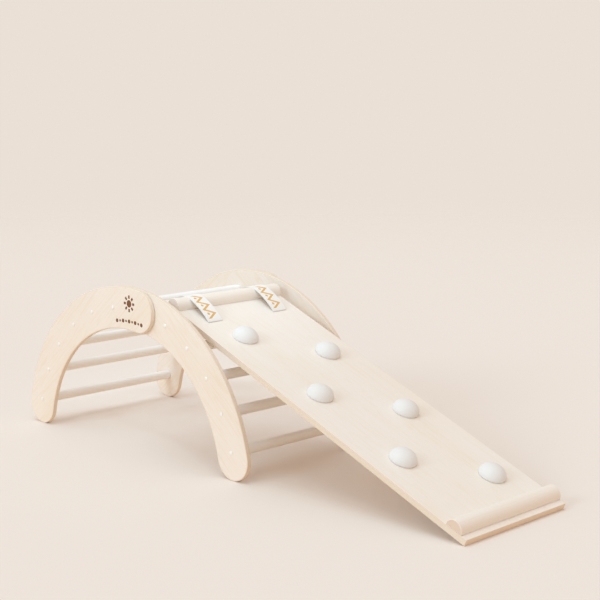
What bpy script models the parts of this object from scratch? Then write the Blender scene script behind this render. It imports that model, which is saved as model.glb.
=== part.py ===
"""Climbing arch with ramp: two half arches hinged at the crown, and a strapped-on ramp.

Metres, +Z up, the floor at z = 0. +X runs from the left foot to the ramp's foot.
The origin is on the floor in the middle of the whole toy.
"""

import math

import bmesh
import bpy
from mathutils import Matrix, Vector
from mathutils.geometry import interpolate_bezier

# Side panels
RUNG_CIRCLE_RADIUS = 0.470
CIRCLE_CENTRE_DROP = 0.035
LEG_WIDTH = 0.128
PANEL_THICKNESS = 0.015
PANEL_CHAMFER = 0.0015
ARCH_WIDTH = 0.536
LAP_GAP = 0.0005
FOOT_FLAT_DEPTH = 0.001

# Rungs
RUNG_COUNT = 6
RUNG_DIAMETER = 0.030
CROWN_RUNG_SPACING = 0.122
FOOT_RUNG_SETBACK = 0.0173

# Crown hinge and hook
TENON_DIAMETER = 0.018
TENON_BITE = 0.010
HOOK_CLEARANCE = 0.0005
HOOK_SWEEP = math.radians(60)

# Rung screws and their white caps
SCREW_SHANK_DIAMETER = 0.005
SCREW_HEAD_DIAMETER = 0.0094
SCREW_HEAD_DEPTH = 0.005
SCREW_LENGTH = 0.050
SCREW_TIP_LENGTH = 0.004
CAP_DIAMETER = 0.011
CAP_HEIGHT = 0.0018
CAP_RIM = 0.0007

# Ramp board
RAMP_LENGTH = 1.236
RAMP_SIDE_GAP = 0.0325
RAMP_THICKNESS = 0.018
RAMP_CHAMFER = 0.0015
RAMP_OVERHANG = 0.081

# Half-round bars
BAR_WIDTH = 0.052
BAR_HEIGHT = 0.026
BAR_LEDGE = 0.019
BAR_SCREW_INSET = 0.075

# Climbing holds
HOLD_DIAMETER = 0.077
HOLD_HEIGHT = 0.0316
HOLD_TUCK = 0.002
HOLD_TUCK_HEIGHT = 0.004
HOLD_ROWS = 3
HOLD_EDGE_INSET = 0.105
HOLD_FIRST_FROM_FOOT = 0.175
HOLD_LAST_FROM_TOP = 0.258
HOLD_STAGGER = 0.147

# Countersunk screws of the holds and bars
COUNTERSUNK_HEAD_DIAMETER = 0.009
COUNTERSUNK_HEAD_DEPTH = 0.0025
COUNTERSUNK_SHANK_DIAMETER = 0.0045
COUNTERSUNK_LENGTH = 0.032

# Straps
STRAP_WIDTH = 0.054
STRAP_THICKNESS = 0.002
STRAP_EDGE_INSET = 0.049
STRAP_SLOT_FROM_TOP = 0.153
STRAP_TOP_BEND = 0.004
STRAP_UNDER_BEND = 0.0016
STRAP_RISE_REACH = 0.035
STRAP_FALL_REACH = 0.036
STRAP_ENTRY_REACH = 0.030
STRAP_LEAVES_RUNG = math.radians(140)
STRAP_MEETS_BAR = math.radians(112)
STRAP_ENTRY_ANGLE = math.radians(28)
OVERLAP_SETBACK = 0.010
OVERLAP_STEP = 0.002
SLOT_CLEARANCE = 0.0005

# Shared
SEAT_GAP = 0.0003
CUT_OVERRUN = 0.002
WELD_DISTANCE = 0.000001
SHARP_ANGLE = math.radians(35)

# Facet counts
ARC_STEPS = 18
END_STEPS = 12
FOOT_STEPS = 6
RUNG_SIDES = 24
SCREW_SIDES = 12
HOLD_SIDES = 28
HOLD_RINGS = 5
BAR_STEPS = 14
WRAP_STEPS = 14
CREST_STEPS = 4
BEND_STEPS = 4
RUN_POINTS = 9

RUNG_RADIUS = RUNG_DIAMETER / 2
LEG_HALF = LEG_WIDTH / 2

# Places along the arch, as angles from the crown
CROWN_ANGLE = math.asin(CROWN_RUNG_SPACING / 2 / RUNG_CIRCLE_RADIUS)
FOOT_CENTRE_HEIGHT = LEG_HALF - FOOT_FLAT_DEPTH
FOOT_ANGLE = math.acos((FOOT_CENTRE_HEIGHT + CIRCLE_CENTRE_DROP) / RUNG_CIRCLE_RADIUS)
FIRST_RUNG_ANGLE = FOOT_ANGLE - FOOT_RUNG_SETBACK / RUNG_CIRCLE_RADIUS
RUNG_STEP_ANGLE = (FIRST_RUNG_ANGLE - CROWN_ANGLE) / (RUNG_COUNT - 1)

# Faces across the width, as distances from the middle
LEFT_OUTER_FACE = ARCH_WIDTH / 2
LEFT_INNER_FACE = LEFT_OUTER_FACE - PANEL_THICKNESS
RIGHT_OUTER_FACE = LEFT_INNER_FACE - LAP_GAP
RIGHT_INNER_FACE = RIGHT_OUTER_FACE - PANEL_THICKNESS
RAMP_EDGE = RIGHT_INNER_FACE - RAMP_SIDE_GAP
STRAP_MIDDLE = RAMP_EDGE - STRAP_EDGE_INSET - STRAP_WIDTH / 2
HOLD_COLUMN = RAMP_EDGE - HOLD_EDGE_INSET
BAR_SCREW_COLUMN = RAMP_EDGE - BAR_SCREW_INSET

# Materials, as (colour, roughness, metallic)
BIRCH = ((0.80, 0.69, 0.54), 0.55, 0.0)
WHITE_PAINT = ((0.84, 0.83, 0.81), 0.35, 0.0)
WHITE_CAP = ((0.88, 0.87, 0.85), 0.4, 0.0)
STEEL = ((0.62, 0.62, 0.63), 0.35, 1.0)
WEBBING = ((0.85, 0.84, 0.82), 0.8, 0.0)


def arch_point(angle):
    """Place on the rung circle in the arch's plane; the angle is 0 at the crown, plus to the right."""
    across = RUNG_CIRCLE_RADIUS * math.sin(angle)
    up = RUNG_CIRCLE_RADIUS * math.cos(angle) - CIRCLE_CENTRE_DROP
    return Vector((across, 0, up))


def rung_point(side, number):
    """Centre of a rung: side is -1 on the left half, number 1 is the rung at the foot."""
    return arch_point(side * (FIRST_RUNG_ANGLE - (number - 1) * RUNG_STEP_ANGLE))


# The ramp's lie: its board rests on the fifth right rung, over the straps' return runs
PIVOT = rung_point(1, RUNG_COUNT)
REST_RUNG = rung_point(1, RUNG_COUNT - 1)
REST_OFFSET = RUNG_RADIUS + SEAT_GAP + STRAP_THICKNESS + SEAT_GAP
REST_RUN = RAMP_LENGTH - RAMP_OVERHANG
SLOPE = math.asin(REST_RUNG.z / math.hypot(REST_RUN, REST_OFFSET)) + math.atan2(REST_OFFSET, REST_RUN)
DOWN_SLOPE = Vector((math.cos(SLOPE), 0, -math.sin(SLOPE)))
BOARD_NORMAL = Vector((math.sin(SLOPE), 0, math.cos(SLOPE)))
RAMP_FOOT = REST_RUNG + DOWN_SLOPE * REST_RUN + BOARD_NORMAL * REST_OFFSET

# The middle of the whole toy is the origin, so the arch stands off to the left
LEFT_END = -(RUNG_CIRCLE_RADIUS * math.sin(FOOT_ANGLE) + LEG_HALF)
RIGHT_END = RAMP_FOOT.x + (RAMP_THICKNESS - RAMP_CHAMFER) * math.sin(SLOPE)
ARCH_CENTRE = Vector((-(LEFT_END + RIGHT_END) / 2, 0, 0))


def ramp_point(point):
    """A place in the arch's plane, as (down the ramp, off its board) from the crown rung."""
    offset = point - PIVOT
    return Vector((offset.dot(DOWN_SLOPE), offset.dot(BOARD_NORMAL)))


BOARD_FOOT = ramp_point(RAMP_FOOT).x
BOARD_TOP = BOARD_FOOT - RAMP_LENGTH
BOARD_UNDERSIDE = ramp_point(RAMP_FOOT).y
BOARD_FACE = BOARD_UNDERSIDE + RAMP_THICKNESS
TOP_BAR_MIDDLE = BOARD_TOP + BAR_LEDGE + BAR_WIDTH / 2
FOOT_BAR_MIDDLE = BOARD_FOOT - BAR_LEDGE - BAR_WIDTH / 2
STRAP_SLOT = BOARD_TOP + STRAP_SLOT_FROM_TOP
FIRST_HOLD = BOARD_FOOT - HOLD_FIRST_FROM_FOOT
LAST_HOLD = BOARD_TOP + HOLD_LAST_FROM_TOP
HOLD_PITCH = (FIRST_HOLD - LAST_HOLD - HOLD_STAGGER) / (HOLD_ROWS - 1)


def clear_scene():
    for item in list(bpy.data.objects):
        bpy.data.objects.remove(item, do_unlink=True)


def make_material(name, colour, roughness, metallic):
    material = bpy.data.materials.new(name)
    material.use_nodes = True
    shader = material.node_tree.nodes["Principled BSDF"]
    shader.inputs["Base Color"].default_value = (*colour, 1.0)
    shader.inputs["Roughness"].default_value = roughness
    shader.inputs["Metallic"].default_value = metallic
    material.diffuse_color = (*colour, 1.0)
    return material


def make_frame(name, location, parent=None, tilt=0.0):
    """An empty that carries one body, on the axis that the body turns about."""
    frame = bpy.data.objects.new(name, None)
    frame.location = location
    frame.rotation_euler = (0, tilt, 0)
    frame.parent = parent
    bpy.context.collection.objects.link(frame)
    return frame


def make_object(name, bm, parent, location=(0, 0, 0), rotation=(0, 0, 0)):
    mesh = bpy.data.meshes.new(name)
    bm.to_mesh(mesh)
    bm.free()
    mesh.shade_smooth()
    mesh.set_sharp_from_angle(angle=SHARP_ANGLE)
    piece = bpy.data.objects.new(name, mesh)
    piece.parent = parent
    piece.location = location
    piece.rotation_euler = rotation
    bpy.context.collection.objects.link(piece)
    return piece


def finish(piece, look):
    piece.data.materials.append(make_material(piece.name, *look))


def cut(piece, cutter):
    """Cut one object with another, which stays hidden."""
    cutter.hide_render = True
    cutter.display_type = "WIRE"
    modifier = piece.modifiers.new(cutter.name, "BOOLEAN")
    modifier.operation = "DIFFERENCE"
    modifier.solver = "EXACT"
    modifier.object = cutter


def outward(face):
    """Turn that points a turned piece's +Z out of the front (-1) or the back (1)."""
    return (-face * math.pi / 2, 0, 0)


def outward_at(point, y, face):
    """The same turn as a matrix, at a point of the arch."""
    turn = Matrix.Rotation(-face * math.pi / 2, 4, "X")
    return Matrix.Translation((point.x, y, point.z)) @ turn


def add_turned(bm, profile, sides, matrix=None):
    """Turn a profile of (radius, height) pairs about Z, and add it to a mesh."""
    turned = bmesh.new()
    ring = [turned.verts.new((radius, 0, height)) for radius, height in profile]
    edges = [turned.edges.new(pair) for pair in zip(ring, ring[1:])]
    bmesh.ops.spin(
        turned, geom=ring + edges, cent=(0, 0, 0), axis=(0, 0, 1), dvec=(0, 0, 0),
        angle=math.tau, steps=sides, use_merge=True, use_duplicate=False,
    )
    bmesh.ops.remove_doubles(turned, verts=turned.verts, dist=WELD_DISTANCE)
    add_closed(bm, turned, matrix)


def add_closed(bm, shell, matrix=None):
    """Move one closed shell into a mesh, with its faces outwards."""
    bmesh.ops.recalc_face_normals(shell, faces=shell.faces)
    if matrix:
        bmesh.ops.transform(shell, matrix=matrix, verts=shell.verts)
    carrier = bpy.data.meshes.new("carrier")
    shell.to_mesh(carrier)
    shell.free()
    bm.from_mesh(carrier)
    bpy.data.meshes.remove(carrier)


def add_prism(bm, outline, near, far):
    """Extrude a closed outline of (x, z) points from y = near to y = far, and add it."""
    prism = bmesh.new()
    face = prism.faces.new([prism.verts.new((x, near, z)) for x, z in outline])
    grown = bmesh.ops.extrude_face_region(prism, geom=[face])
    moved = [item for item in grown["geom"] if isinstance(item, bmesh.types.BMVert)]
    bmesh.ops.translate(prism, verts=moved, vec=(0, far - near, 0))
    add_closed(bm, prism)


def chamfer(bm, edges, width):
    bmesh.ops.bevel(
        bm, geom=edges, offset=width, offset_type="OFFSET", segments=1, profile=0.5,
        affect="EDGES", material=-1, clamp_overlap=True,
    )


def arc(centre, radius, start, end, steps):
    """Points (x, z) on an arc in the arch's plane, angles from +Z towards +X."""
    points = []
    for step in range(steps + 1):
        angle = start + (end - start) * step / steps
        points.append((centre.x + radius * math.sin(angle), centre.z + radius * math.cos(angle)))
    return points


def half_arch_outline(half):
    """Outline of a half's panel: a foot with a flat, the arched leg and a round crown lobe."""
    circle = Vector((0, 0, -CIRCLE_CENTRE_DROP))
    foot = arch_point(-FOOT_ANGLE)
    lobe = arch_point(CROWN_ANGLE)
    flat = math.acos(FOOT_CENTRE_HEIGHT / LEG_HALF)
    outline = arc(circle, RUNG_CIRCLE_RADIUS + LEG_HALF, -FOOT_ANGLE, CROWN_ANGLE, ARC_STEPS)
    outline += arc(lobe, LEG_HALF, CROWN_ANGLE, CROWN_ANGLE + math.pi, END_STEPS)[1:]
    outline += arc(circle, RUNG_CIRCLE_RADIUS - LEG_HALF, CROWN_ANGLE, -FOOT_ANGLE, ARC_STEPS)[1:]
    outline += arc(foot, LEG_HALF, math.pi - FOOT_ANGLE, math.pi - flat, FOOT_STEPS)[1:]
    outline += arc(foot, LEG_HALF, math.pi + flat, math.tau - FOOT_ANGLE, FOOT_STEPS)[:-1]
    return [(-half * x, z) for x, z in outline]


def hook_slot_outline():
    """Slot about the crown hinge: closed above the left crown rung, open below."""
    hooked = rung_point(-1, RUNG_COUNT)
    reach = (hooked - PIVOT).length
    width = RUNG_RADIUS + HOOK_CLEARANCE
    closed = -math.pi / 2
    mouth = closed - HOOK_SWEEP
    outline = arc(hooked, width, math.pi / 2, -math.pi / 2, END_STEPS)
    outline += arc(PIVOT, reach + width, closed, mouth, END_STEPS)[1:]
    outline += arc(PIVOT, reach - width, mouth, closed, END_STEPS)[:-1]
    return outline


def rung_hole_profile():
    """Stepped hole for a rung screw; height 0 is the panel's outer face."""
    shank = SCREW_SHANK_DIAMETER / 2 + SEAT_GAP
    head = SCREW_HEAD_DIAMETER / 2 + SEAT_GAP
    floor = -SCREW_HEAD_DEPTH - SEAT_GAP
    through = -PANEL_THICKNESS - CUT_OVERRUN
    return [
        (0, CUT_OVERRUN), (head, CUT_OVERRUN), (head, floor),
        (shank, floor), (shank, through), (0, through),
    ]


def build_panel(name, half, face, outer, parent, origin):
    """One side panel. half is -1 left, 1 right; face is -1 front, 1 back."""
    inner = outer - PANEL_THICKNESS
    bm = bmesh.new()
    add_prism(bm, half_arch_outline(half), face * inner, face * outer)
    rims = [edge for edge in bm.edges if abs(edge.verts[0].co.y - edge.verts[1].co.y) < WELD_DISTANCE]
    chamfer(bm, rims, PANEL_CHAMFER)
    panel = make_object(name, bm, parent, origin)
    holes = bmesh.new()
    for number in range(1, screwed_rungs(half) + 1):
        spot = outward_at(rung_point(half, number), face * outer, face)
        add_turned(holes, rung_hole_profile(), SCREW_SIDES, spot)
    bore = TENON_DIAMETER / 2 + SEAT_GAP
    depth = TENON_BITE + SEAT_GAP if half < 0 else PANEL_THICKNESS + CUT_OVERRUN
    bore_profile = [(0, depth), (bore, depth), (bore, -CUT_OVERRUN), (0, -CUT_OVERRUN)]
    add_turned(holes, bore_profile, RUNG_SIDES, outward_at(PIVOT, face * inner, face))
    cut(panel, make_object(name + ".holes", holes, parent, origin))
    if half > 0:
        slot = bmesh.new()
        add_prism(slot, hook_slot_outline(), face * (inner - CUT_OVERRUN), face * (outer + CUT_OVERRUN))
        cut(panel, make_object(name + ".hook", slot, parent, origin))
    finish(panel, BIRCH)


def screwed_rungs(half):
    """Rungs held by screws: all on the left, all but the crown's on the right."""
    return RUNG_COUNT if half < 0 else RUNG_COUNT - 1


def build_rung(name, point, inner, parent, origin):
    """A white round rung between two panels, with a pilot hole in each end."""
    end = inner - SEAT_GAP
    pilot = SCREW_SHANK_DIAMETER / 2 + SEAT_GAP
    floor = end + PANEL_THICKNESS - SCREW_LENGTH - SEAT_GAP
    profile = [
        (0, floor), (pilot, floor), (pilot, end), (RUNG_RADIUS, end),
        (RUNG_RADIUS, -end), (pilot, -end), (pilot, -floor), (0, -floor),
    ]
    bm = bmesh.new()
    add_turned(bm, profile, RUNG_SIDES)
    rung = make_object(name, bm, parent, origin + point, outward(1))
    finish(rung, WHITE_PAINT)


def build_pivot_rung(parent, origin):
    """The right half's crown rung, whose thin ends turn in the left half's lobes."""
    shoulder = RIGHT_INNER_FACE - SEAT_GAP
    tip = LEFT_INNER_FACE + TENON_BITE
    tenon = TENON_DIAMETER / 2
    profile = [
        (0, tip), (tenon, tip), (tenon, shoulder), (RUNG_RADIUS, shoulder),
        (RUNG_RADIUS, -shoulder), (tenon, -shoulder), (tenon, -tip), (0, -tip),
    ]
    bm = bmesh.new()
    add_turned(bm, profile, RUNG_SIDES)
    rung = make_object("pivot_rung", bm, parent, origin + PIVOT, outward(1))
    finish(rung, WHITE_PAINT)


def build_capped_screw(name, point, outer, face, parent, origin):
    """A rung screw with its white cap; height 0 is the panel's outer face."""
    shank = SCREW_SHANK_DIAMETER / 2
    head = SCREW_HEAD_DIAMETER / 2
    cap = CAP_DIAMETER / 2
    brow = math.pi / 4
    rim = SEAT_GAP + CAP_RIM
    profile = [
        (0, -SCREW_LENGTH), (shank, -SCREW_LENGTH + SCREW_TIP_LENGTH), (shank, -SCREW_HEAD_DEPTH),
        (head, -SCREW_HEAD_DEPTH), (head, SEAT_GAP), (cap, SEAT_GAP), (cap, rim),
        (cap * math.sin(brow), rim + (CAP_HEIGHT - CAP_RIM) * math.cos(brow)),
        (0, SEAT_GAP + CAP_HEIGHT),
    ]
    bm = bmesh.new()
    add_turned(bm, profile, SCREW_SIDES)
    seat = origin + Vector((point.x, face * outer, point.z))
    screw = make_object(name, bm, parent, seat, outward(face))
    finish(screw, WHITE_CAP)


def build_half_arch(half, parent, origin):
    """Panels, rungs and capped screws of one half; origin is the arch's own, in the parent."""
    word = "left" if half < 0 else "right"
    outer = LEFT_OUTER_FACE if half < 0 else RIGHT_OUTER_FACE
    numbers = range(1, screwed_rungs(half) + 1)
    for face, face_word in ((-1, "front"), (1, "back")):
        build_panel(f"{word}_panel_{face_word}", half, face, outer, parent, origin)
        for number in numbers:
            name = f"{word}_rung_screw_{face_word}_{number}"
            build_capped_screw(name, rung_point(half, number), outer, face, parent, origin)
    for number in numbers:
        name = f"{word}_rung_{number}"
        build_rung(name, rung_point(half, number), outer - PANEL_THICKNESS, parent, origin)


def hold_places():
    """Middles of the holds as (down the ramp, across it), from the foot end up."""
    places = []
    for row in range(HOLD_ROWS):
        along = FIRST_HOLD - row * HOLD_PITCH
        places.append((along, HOLD_COLUMN))
        places.append((along - HOLD_STAGGER, -HOLD_COLUMN))
    return places


def bar_screw_places():
    """Places of the four screws that hold the two bars, each with its name."""
    places = {}
    for word, middle in (("top", TOP_BAR_MIDDLE), ("foot", FOOT_BAR_MIDDLE)):
        places[f"{word}_bar_screw_front"] = (middle, -BAR_SCREW_COLUMN)
        places[f"{word}_bar_screw_back"] = (middle, BAR_SCREW_COLUMN)
    return places


def countersunk_hole_profile():
    """Hole for a countersunk screw; height 0 is the board's underside."""
    head = COUNTERSUNK_HEAD_DIAMETER / 2 + SEAT_GAP
    shank = COUNTERSUNK_SHANK_DIAMETER / 2 + SEAT_GAP
    neck = COUNTERSUNK_HEAD_DEPTH + SEAT_GAP
    through = RAMP_THICKNESS + CUT_OVERRUN
    return [
        (0, -CUT_OVERRUN), (head, -CUT_OVERRUN), (head, 0),
        (shank, neck), (shank, through), (0, through),
    ]


def stands_on_floor(edge):
    """True for the board's lower foot edge, which keeps its corner."""
    for vert in edge.verts:
        if abs(vert.co.x - BOARD_FOOT) > WELD_DISTANCE or abs(vert.co.z - BOARD_UNDERSIDE) > WELD_DISTANCE:
            return False
    return True


def build_board(parent):
    """The ramp's board, with its screw holes and the two strap slots."""
    outline = [
        (BOARD_TOP, BOARD_UNDERSIDE), (BOARD_FOOT, BOARD_UNDERSIDE),
        (BOARD_FOOT, BOARD_FACE), (BOARD_TOP, BOARD_FACE),
    ]
    bm = bmesh.new()
    add_prism(bm, outline, -RAMP_EDGE, RAMP_EDGE)
    chamfer(bm, [edge for edge in bm.edges if not stands_on_floor(edge)], RAMP_CHAMFER)
    board = make_object("ramp_board", bm, parent)
    holes = bmesh.new()
    for along, across in hold_places() + list(bar_screw_places().values()):
        spot = Matrix.Translation((along, across, BOARD_UNDERSIDE))
        add_turned(holes, countersunk_hole_profile(), SCREW_SIDES, spot)
    cut(board, make_object("ramp_board.holes", holes, parent))
    slots = bmesh.new()
    gap = STRAP_THICKNESS / 2 + SLOT_CLEARANCE
    slot_outline = [
        (STRAP_SLOT - gap, BOARD_UNDERSIDE - CUT_OVERRUN), (STRAP_SLOT + gap, BOARD_UNDERSIDE - CUT_OVERRUN),
        (STRAP_SLOT + gap, BOARD_FACE + CUT_OVERRUN), (STRAP_SLOT - gap, BOARD_FACE + CUT_OVERRUN),
    ]
    reach = STRAP_WIDTH / 2 + SLOT_CLEARANCE
    for side in (-1, 1):
        middle = side * STRAP_MIDDLE
        add_prism(slots, slot_outline, middle - reach, middle + reach)
    cut(board, make_object("ramp_board.slots", slots, parent))
    finish(board, BIRCH)


def screw_bite_profile():
    """Pilot hole in a hold or a bar, up from its seat on the board."""
    pilot = COUNTERSUNK_SHANK_DIAMETER / 2 + SEAT_GAP
    top = COUNTERSUNK_LENGTH - RAMP_THICKNESS + SEAT_GAP
    return [(0, top), (pilot, top), (pilot, 0)]


def build_bar(name, middle, parent):
    """A half-round bar across the board, with a pilot hole for each of its screws."""
    outline = []
    for step in range(BAR_STEPS + 1):
        angle = math.pi * step / BAR_STEPS
        outline.append((BAR_WIDTH / 2 * math.cos(angle), BAR_HEIGHT * math.sin(angle)))
    bm = bmesh.new()
    add_prism(bm, outline, -RAMP_EDGE, RAMP_EDGE)
    seat = (middle, 0, BOARD_FACE + SEAT_GAP)
    bar = make_object(name, bm, parent, seat)
    holes = bmesh.new()
    bite = screw_bite_profile()
    profile = bite[:-1] + [(bite[-1][0], -CUT_OVERRUN), (0, -CUT_OVERRUN)]
    for side in (-1, 1):
        spot = Matrix.Translation((0, side * BAR_SCREW_COLUMN, 0))
        add_turned(holes, profile, SCREW_SIDES, spot)
    cut(bar, make_object(name + ".holes", holes, parent, seat))
    finish(bar, BIRCH)


def build_hold(name, along, across, parent):
    """A white domed hold that tucks in at its foot, with a pilot hole from below."""
    radius = HOLD_DIAMETER / 2
    dome = HOLD_HEIGHT - HOLD_TUCK_HEIGHT
    profile = screw_bite_profile()
    profile.append((radius - HOLD_TUCK, 0))
    for step in range(HOLD_RINGS + 1):
        angle = math.pi / 2 * step / HOLD_RINGS
        profile.append((radius * math.cos(angle), HOLD_TUCK_HEIGHT + dome * math.sin(angle)))
    bm = bmesh.new()
    add_turned(bm, profile, HOLD_SIDES)
    hold = make_object(name, bm, parent, (along, across, BOARD_FACE + SEAT_GAP))
    finish(hold, WHITE_PAINT)


def build_countersunk_screw(name, along, across, parent):
    """A wood screw driven up from the board's underside; height 0 is that face."""
    head = COUNTERSUNK_HEAD_DIAMETER / 2
    shank = COUNTERSUNK_SHANK_DIAMETER / 2
    profile = [
        (0, 0), (head, 0), (shank, COUNTERSUNK_HEAD_DEPTH),
        (shank, COUNTERSUNK_LENGTH - SCREW_TIP_LENGTH), (0, COUNTERSUNK_LENGTH),
    ]
    bm = bmesh.new()
    add_turned(bm, profile, SCREW_SIDES)
    screw = make_object(name, bm, parent, (along, across, BOARD_UNDERSIDE))
    finish(screw, STEEL)


def polar(centre, radius, start, end, steps):
    """Points on an arc in the ramp's axes, angles from down-slope towards the normal."""
    points = []
    for step in range(steps + 1):
        angle = start + (end - start) * step / steps
        points.append(centre + radius * Vector((math.cos(angle), math.sin(angle))))
    return points


def bar_crest(angle, clearance):
    """Place beside the top bar where a line whose normal has this angle touches it."""
    along = BAR_WIDTH / 2 + clearance
    up = BAR_HEIGHT + clearance
    support = math.hypot(along * math.cos(angle), up * math.sin(angle))
    crest = Vector((along ** 2 * math.cos(angle), up ** 2 * math.sin(angle))) / support
    return Vector((TOP_BAR_MIDDLE, BOARD_FACE)) + crest


def heading(normal_angle):
    """Direction of a clockwise path whose outward normal has this angle."""
    return Vector((math.sin(normal_angle), -math.cos(normal_angle)))


def strap_path():
    """Closed middle line of a strap, clockwise, as (point, layers) pairs in the ramp's axes."""
    half = STRAP_THICKNESS / 2
    wrap = RUNG_RADIUS + SEAT_GAP + half
    rest = ramp_point(REST_RUNG)
    run = BOARD_UNDERSIDE - SEAT_GAP - half
    crossing = math.atan2(rest.y, rest.x) + math.acos(-2 * wrap / rest.length)

    # Round the crown rung, up to the bar and over its crest
    line = polar(Vector((0, 0)), wrap, crossing + math.pi, STRAP_LEAVES_RUNG, WRAP_STEPS)
    clearance = 2 * SEAT_GAP + half
    crest = bar_crest(STRAP_MEETS_BAR, clearance)
    rise = line[-1] + heading(STRAP_LEAVES_RUNG) * STRAP_RISE_REACH
    meet = crest - heading(STRAP_MEETS_BAR) * STRAP_RISE_REACH
    line += interpolate_bezier(line[-1], rise, meet, crest, RUN_POINTS)[1:-1]
    for step in range(CREST_STEPS + 1):
        angle = STRAP_MEETS_BAR + (math.pi / 2 - STRAP_MEETS_BAR) * step / CREST_STEPS
        line.append(bar_crest(angle, clearance))

    # Down to the slot, through it and back under the board
    bend_angle = math.pi / 2 - STRAP_ENTRY_ANGLE
    bend_centre = Vector((STRAP_SLOT - STRAP_TOP_BEND, BOARD_FACE + SEAT_GAP))
    bend = polar(bend_centre, STRAP_TOP_BEND, bend_angle, 0, BEND_STEPS)
    fall = line[-1] + heading(math.pi / 2) * STRAP_FALL_REACH
    entry = bend[0] - heading(bend_angle) * STRAP_ENTRY_REACH
    line += interpolate_bezier(line[-1], fall, entry, bend[0], RUN_POINTS)[1:-1]
    line += bend
    under_centre = Vector((STRAP_SLOT - STRAP_UNDER_BEND, run + STRAP_UNDER_BEND))
    line += polar(under_centre, STRAP_UNDER_BEND, 0, -math.pi / 2, BEND_STEPS)
    path = [(Vector((point[0], point[1])), 1) for point in line]

    # The overlap that closes the strap, and the run over the rest rung
    start = STRAP_SLOT - STRAP_UNDER_BEND - OVERLAP_SETBACK
    end = rest.x + RUNG_RADIUS
    for along, layers in ((start, 1), (start - OVERLAP_STEP, 2), (end + OVERLAP_STEP, 2), (end, 1)):
        path.append((Vector((along, run)), layers))
    path += [(point, 1) for point in polar(rest, wrap, math.pi / 2, crossing, BEND_STEPS)]
    return path


def build_strap(name, middle, parent):
    """A flat woven strap: a closed band through its slot, over the bar and round the crown rung."""
    bm = bmesh.new()
    path = strap_path()
    half = STRAP_THICKNESS / 2
    rings = []
    for index, (point, layers) in enumerate(path):
        before = path[index - 1][0]
        after = path[(index + 1) % len(path)][0]
        along = (after - before).normalized()
        out = Vector((-along.y, along.x))
        inner = point - out * half
        outer = point + out * (half + (layers - 1) * STRAP_THICKNESS)
        near = middle - STRAP_WIDTH / 2
        far = middle + STRAP_WIDTH / 2
        corners = ((inner, near), (outer, near), (outer, far), (inner, far))
        rings.append([bm.verts.new((spot.x, y, spot.y)) for spot, y in corners])
    for index, ring in enumerate(rings):
        following = rings[(index + 1) % len(rings)]
        for side in range(len(ring)):
            beside = (side + 1) % len(ring)
            bm.faces.new((ring[side], ring[beside], following[beside], following[side]))
    bmesh.ops.recalc_face_normals(bm, faces=bm.faces)
    strap = make_object(name, bm, parent)
    finish(strap, WEBBING)


def build_ramp(parent):
    """The board and everything fixed to it."""
    build_board(parent)
    build_bar("ramp_bar_top", TOP_BAR_MIDDLE, parent)
    build_bar("ramp_bar_foot", FOOT_BAR_MIDDLE, parent)
    for name, (along, across) in bar_screw_places().items():
        build_countersunk_screw(name, along, across, parent)
    for number, (along, across) in enumerate(hold_places(), start=1):
        build_hold(f"climbing_hold_{number}", along, across, parent)
        build_countersunk_screw(f"hold_screw_{number}", along, across, parent)
    build_strap("strap_front", -STRAP_MIDDLE, parent)
    build_strap("strap_back", STRAP_MIDDLE, parent)


def main():
    clear_scene()
    left = make_frame("left_half_frame", ARCH_CENTRE)
    right = make_frame("right_half_frame", PIVOT, left)
    ramp = make_frame("ramp_frame", PIVOT, left, SLOPE)
    build_half_arch(-1, left, Vector((0, 0, 0)))
    build_half_arch(1, right, -PIVOT)
    build_pivot_rung(right, -PIVOT)
    build_ramp(ramp)


main()
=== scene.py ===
"""Finish of a wooden climbing arch with a strapped-on ramp: an add-on that is run as a script.

Metres, +Z up, the floor at z = 0, +X towards the ramp's foot, +Y away from the front panels.
"""

import math

import bmesh
import bpy
from bpy.props import FloatProperty, FloatVectorProperty, IntProperty, PointerProperty
from mathutils import Matrix, Vector
from mathutils.geometry import interpolate_bezier


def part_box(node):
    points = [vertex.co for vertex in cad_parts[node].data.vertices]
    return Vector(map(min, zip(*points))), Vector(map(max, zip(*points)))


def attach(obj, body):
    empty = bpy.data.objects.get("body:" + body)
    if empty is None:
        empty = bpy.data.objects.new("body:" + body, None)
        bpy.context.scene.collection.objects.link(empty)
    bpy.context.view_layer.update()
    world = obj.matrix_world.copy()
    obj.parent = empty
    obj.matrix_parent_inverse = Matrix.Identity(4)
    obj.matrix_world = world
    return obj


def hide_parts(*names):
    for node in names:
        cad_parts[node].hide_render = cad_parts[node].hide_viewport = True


bl_info = {
    "name": "Climbing arch with ramp",
    "version": (1, 0, 0),
    "blender": (4, 5, 0),
    "location": "3D View > Sidebar > Climbing arch",
    "description": "Plywood panels, painted rungs and holds, screws and straps of a climbing arch",
    "category": "Object",
}

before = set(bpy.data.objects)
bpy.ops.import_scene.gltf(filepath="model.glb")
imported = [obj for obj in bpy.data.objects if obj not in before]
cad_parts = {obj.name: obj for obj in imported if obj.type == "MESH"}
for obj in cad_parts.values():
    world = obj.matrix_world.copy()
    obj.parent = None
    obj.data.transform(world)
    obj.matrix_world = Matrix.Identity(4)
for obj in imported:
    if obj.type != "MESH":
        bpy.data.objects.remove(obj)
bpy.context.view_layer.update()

X, Y, Z = Vector((1, 0, 0)), Vector((0, 1, 0)), Vector((0, 0, 1))

# Gap between pieces that touch, how far a cutter stands out of what it cuts, and two tests:
# points this near are one, and a face whose normal is this near an axis lies flat
CLEARANCE = 0.0003
OVERRUN = 0.002
WELD = 0.000001
FLAT = 0.9999


# Places read from the CAD parts


def extent(node, axis):
    """Least and most that a CAD node reaches along an axis."""
    reach = [vertex.co.dot(axis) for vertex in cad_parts[node].data.vertices]
    return min(reach), max(reach)


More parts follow.
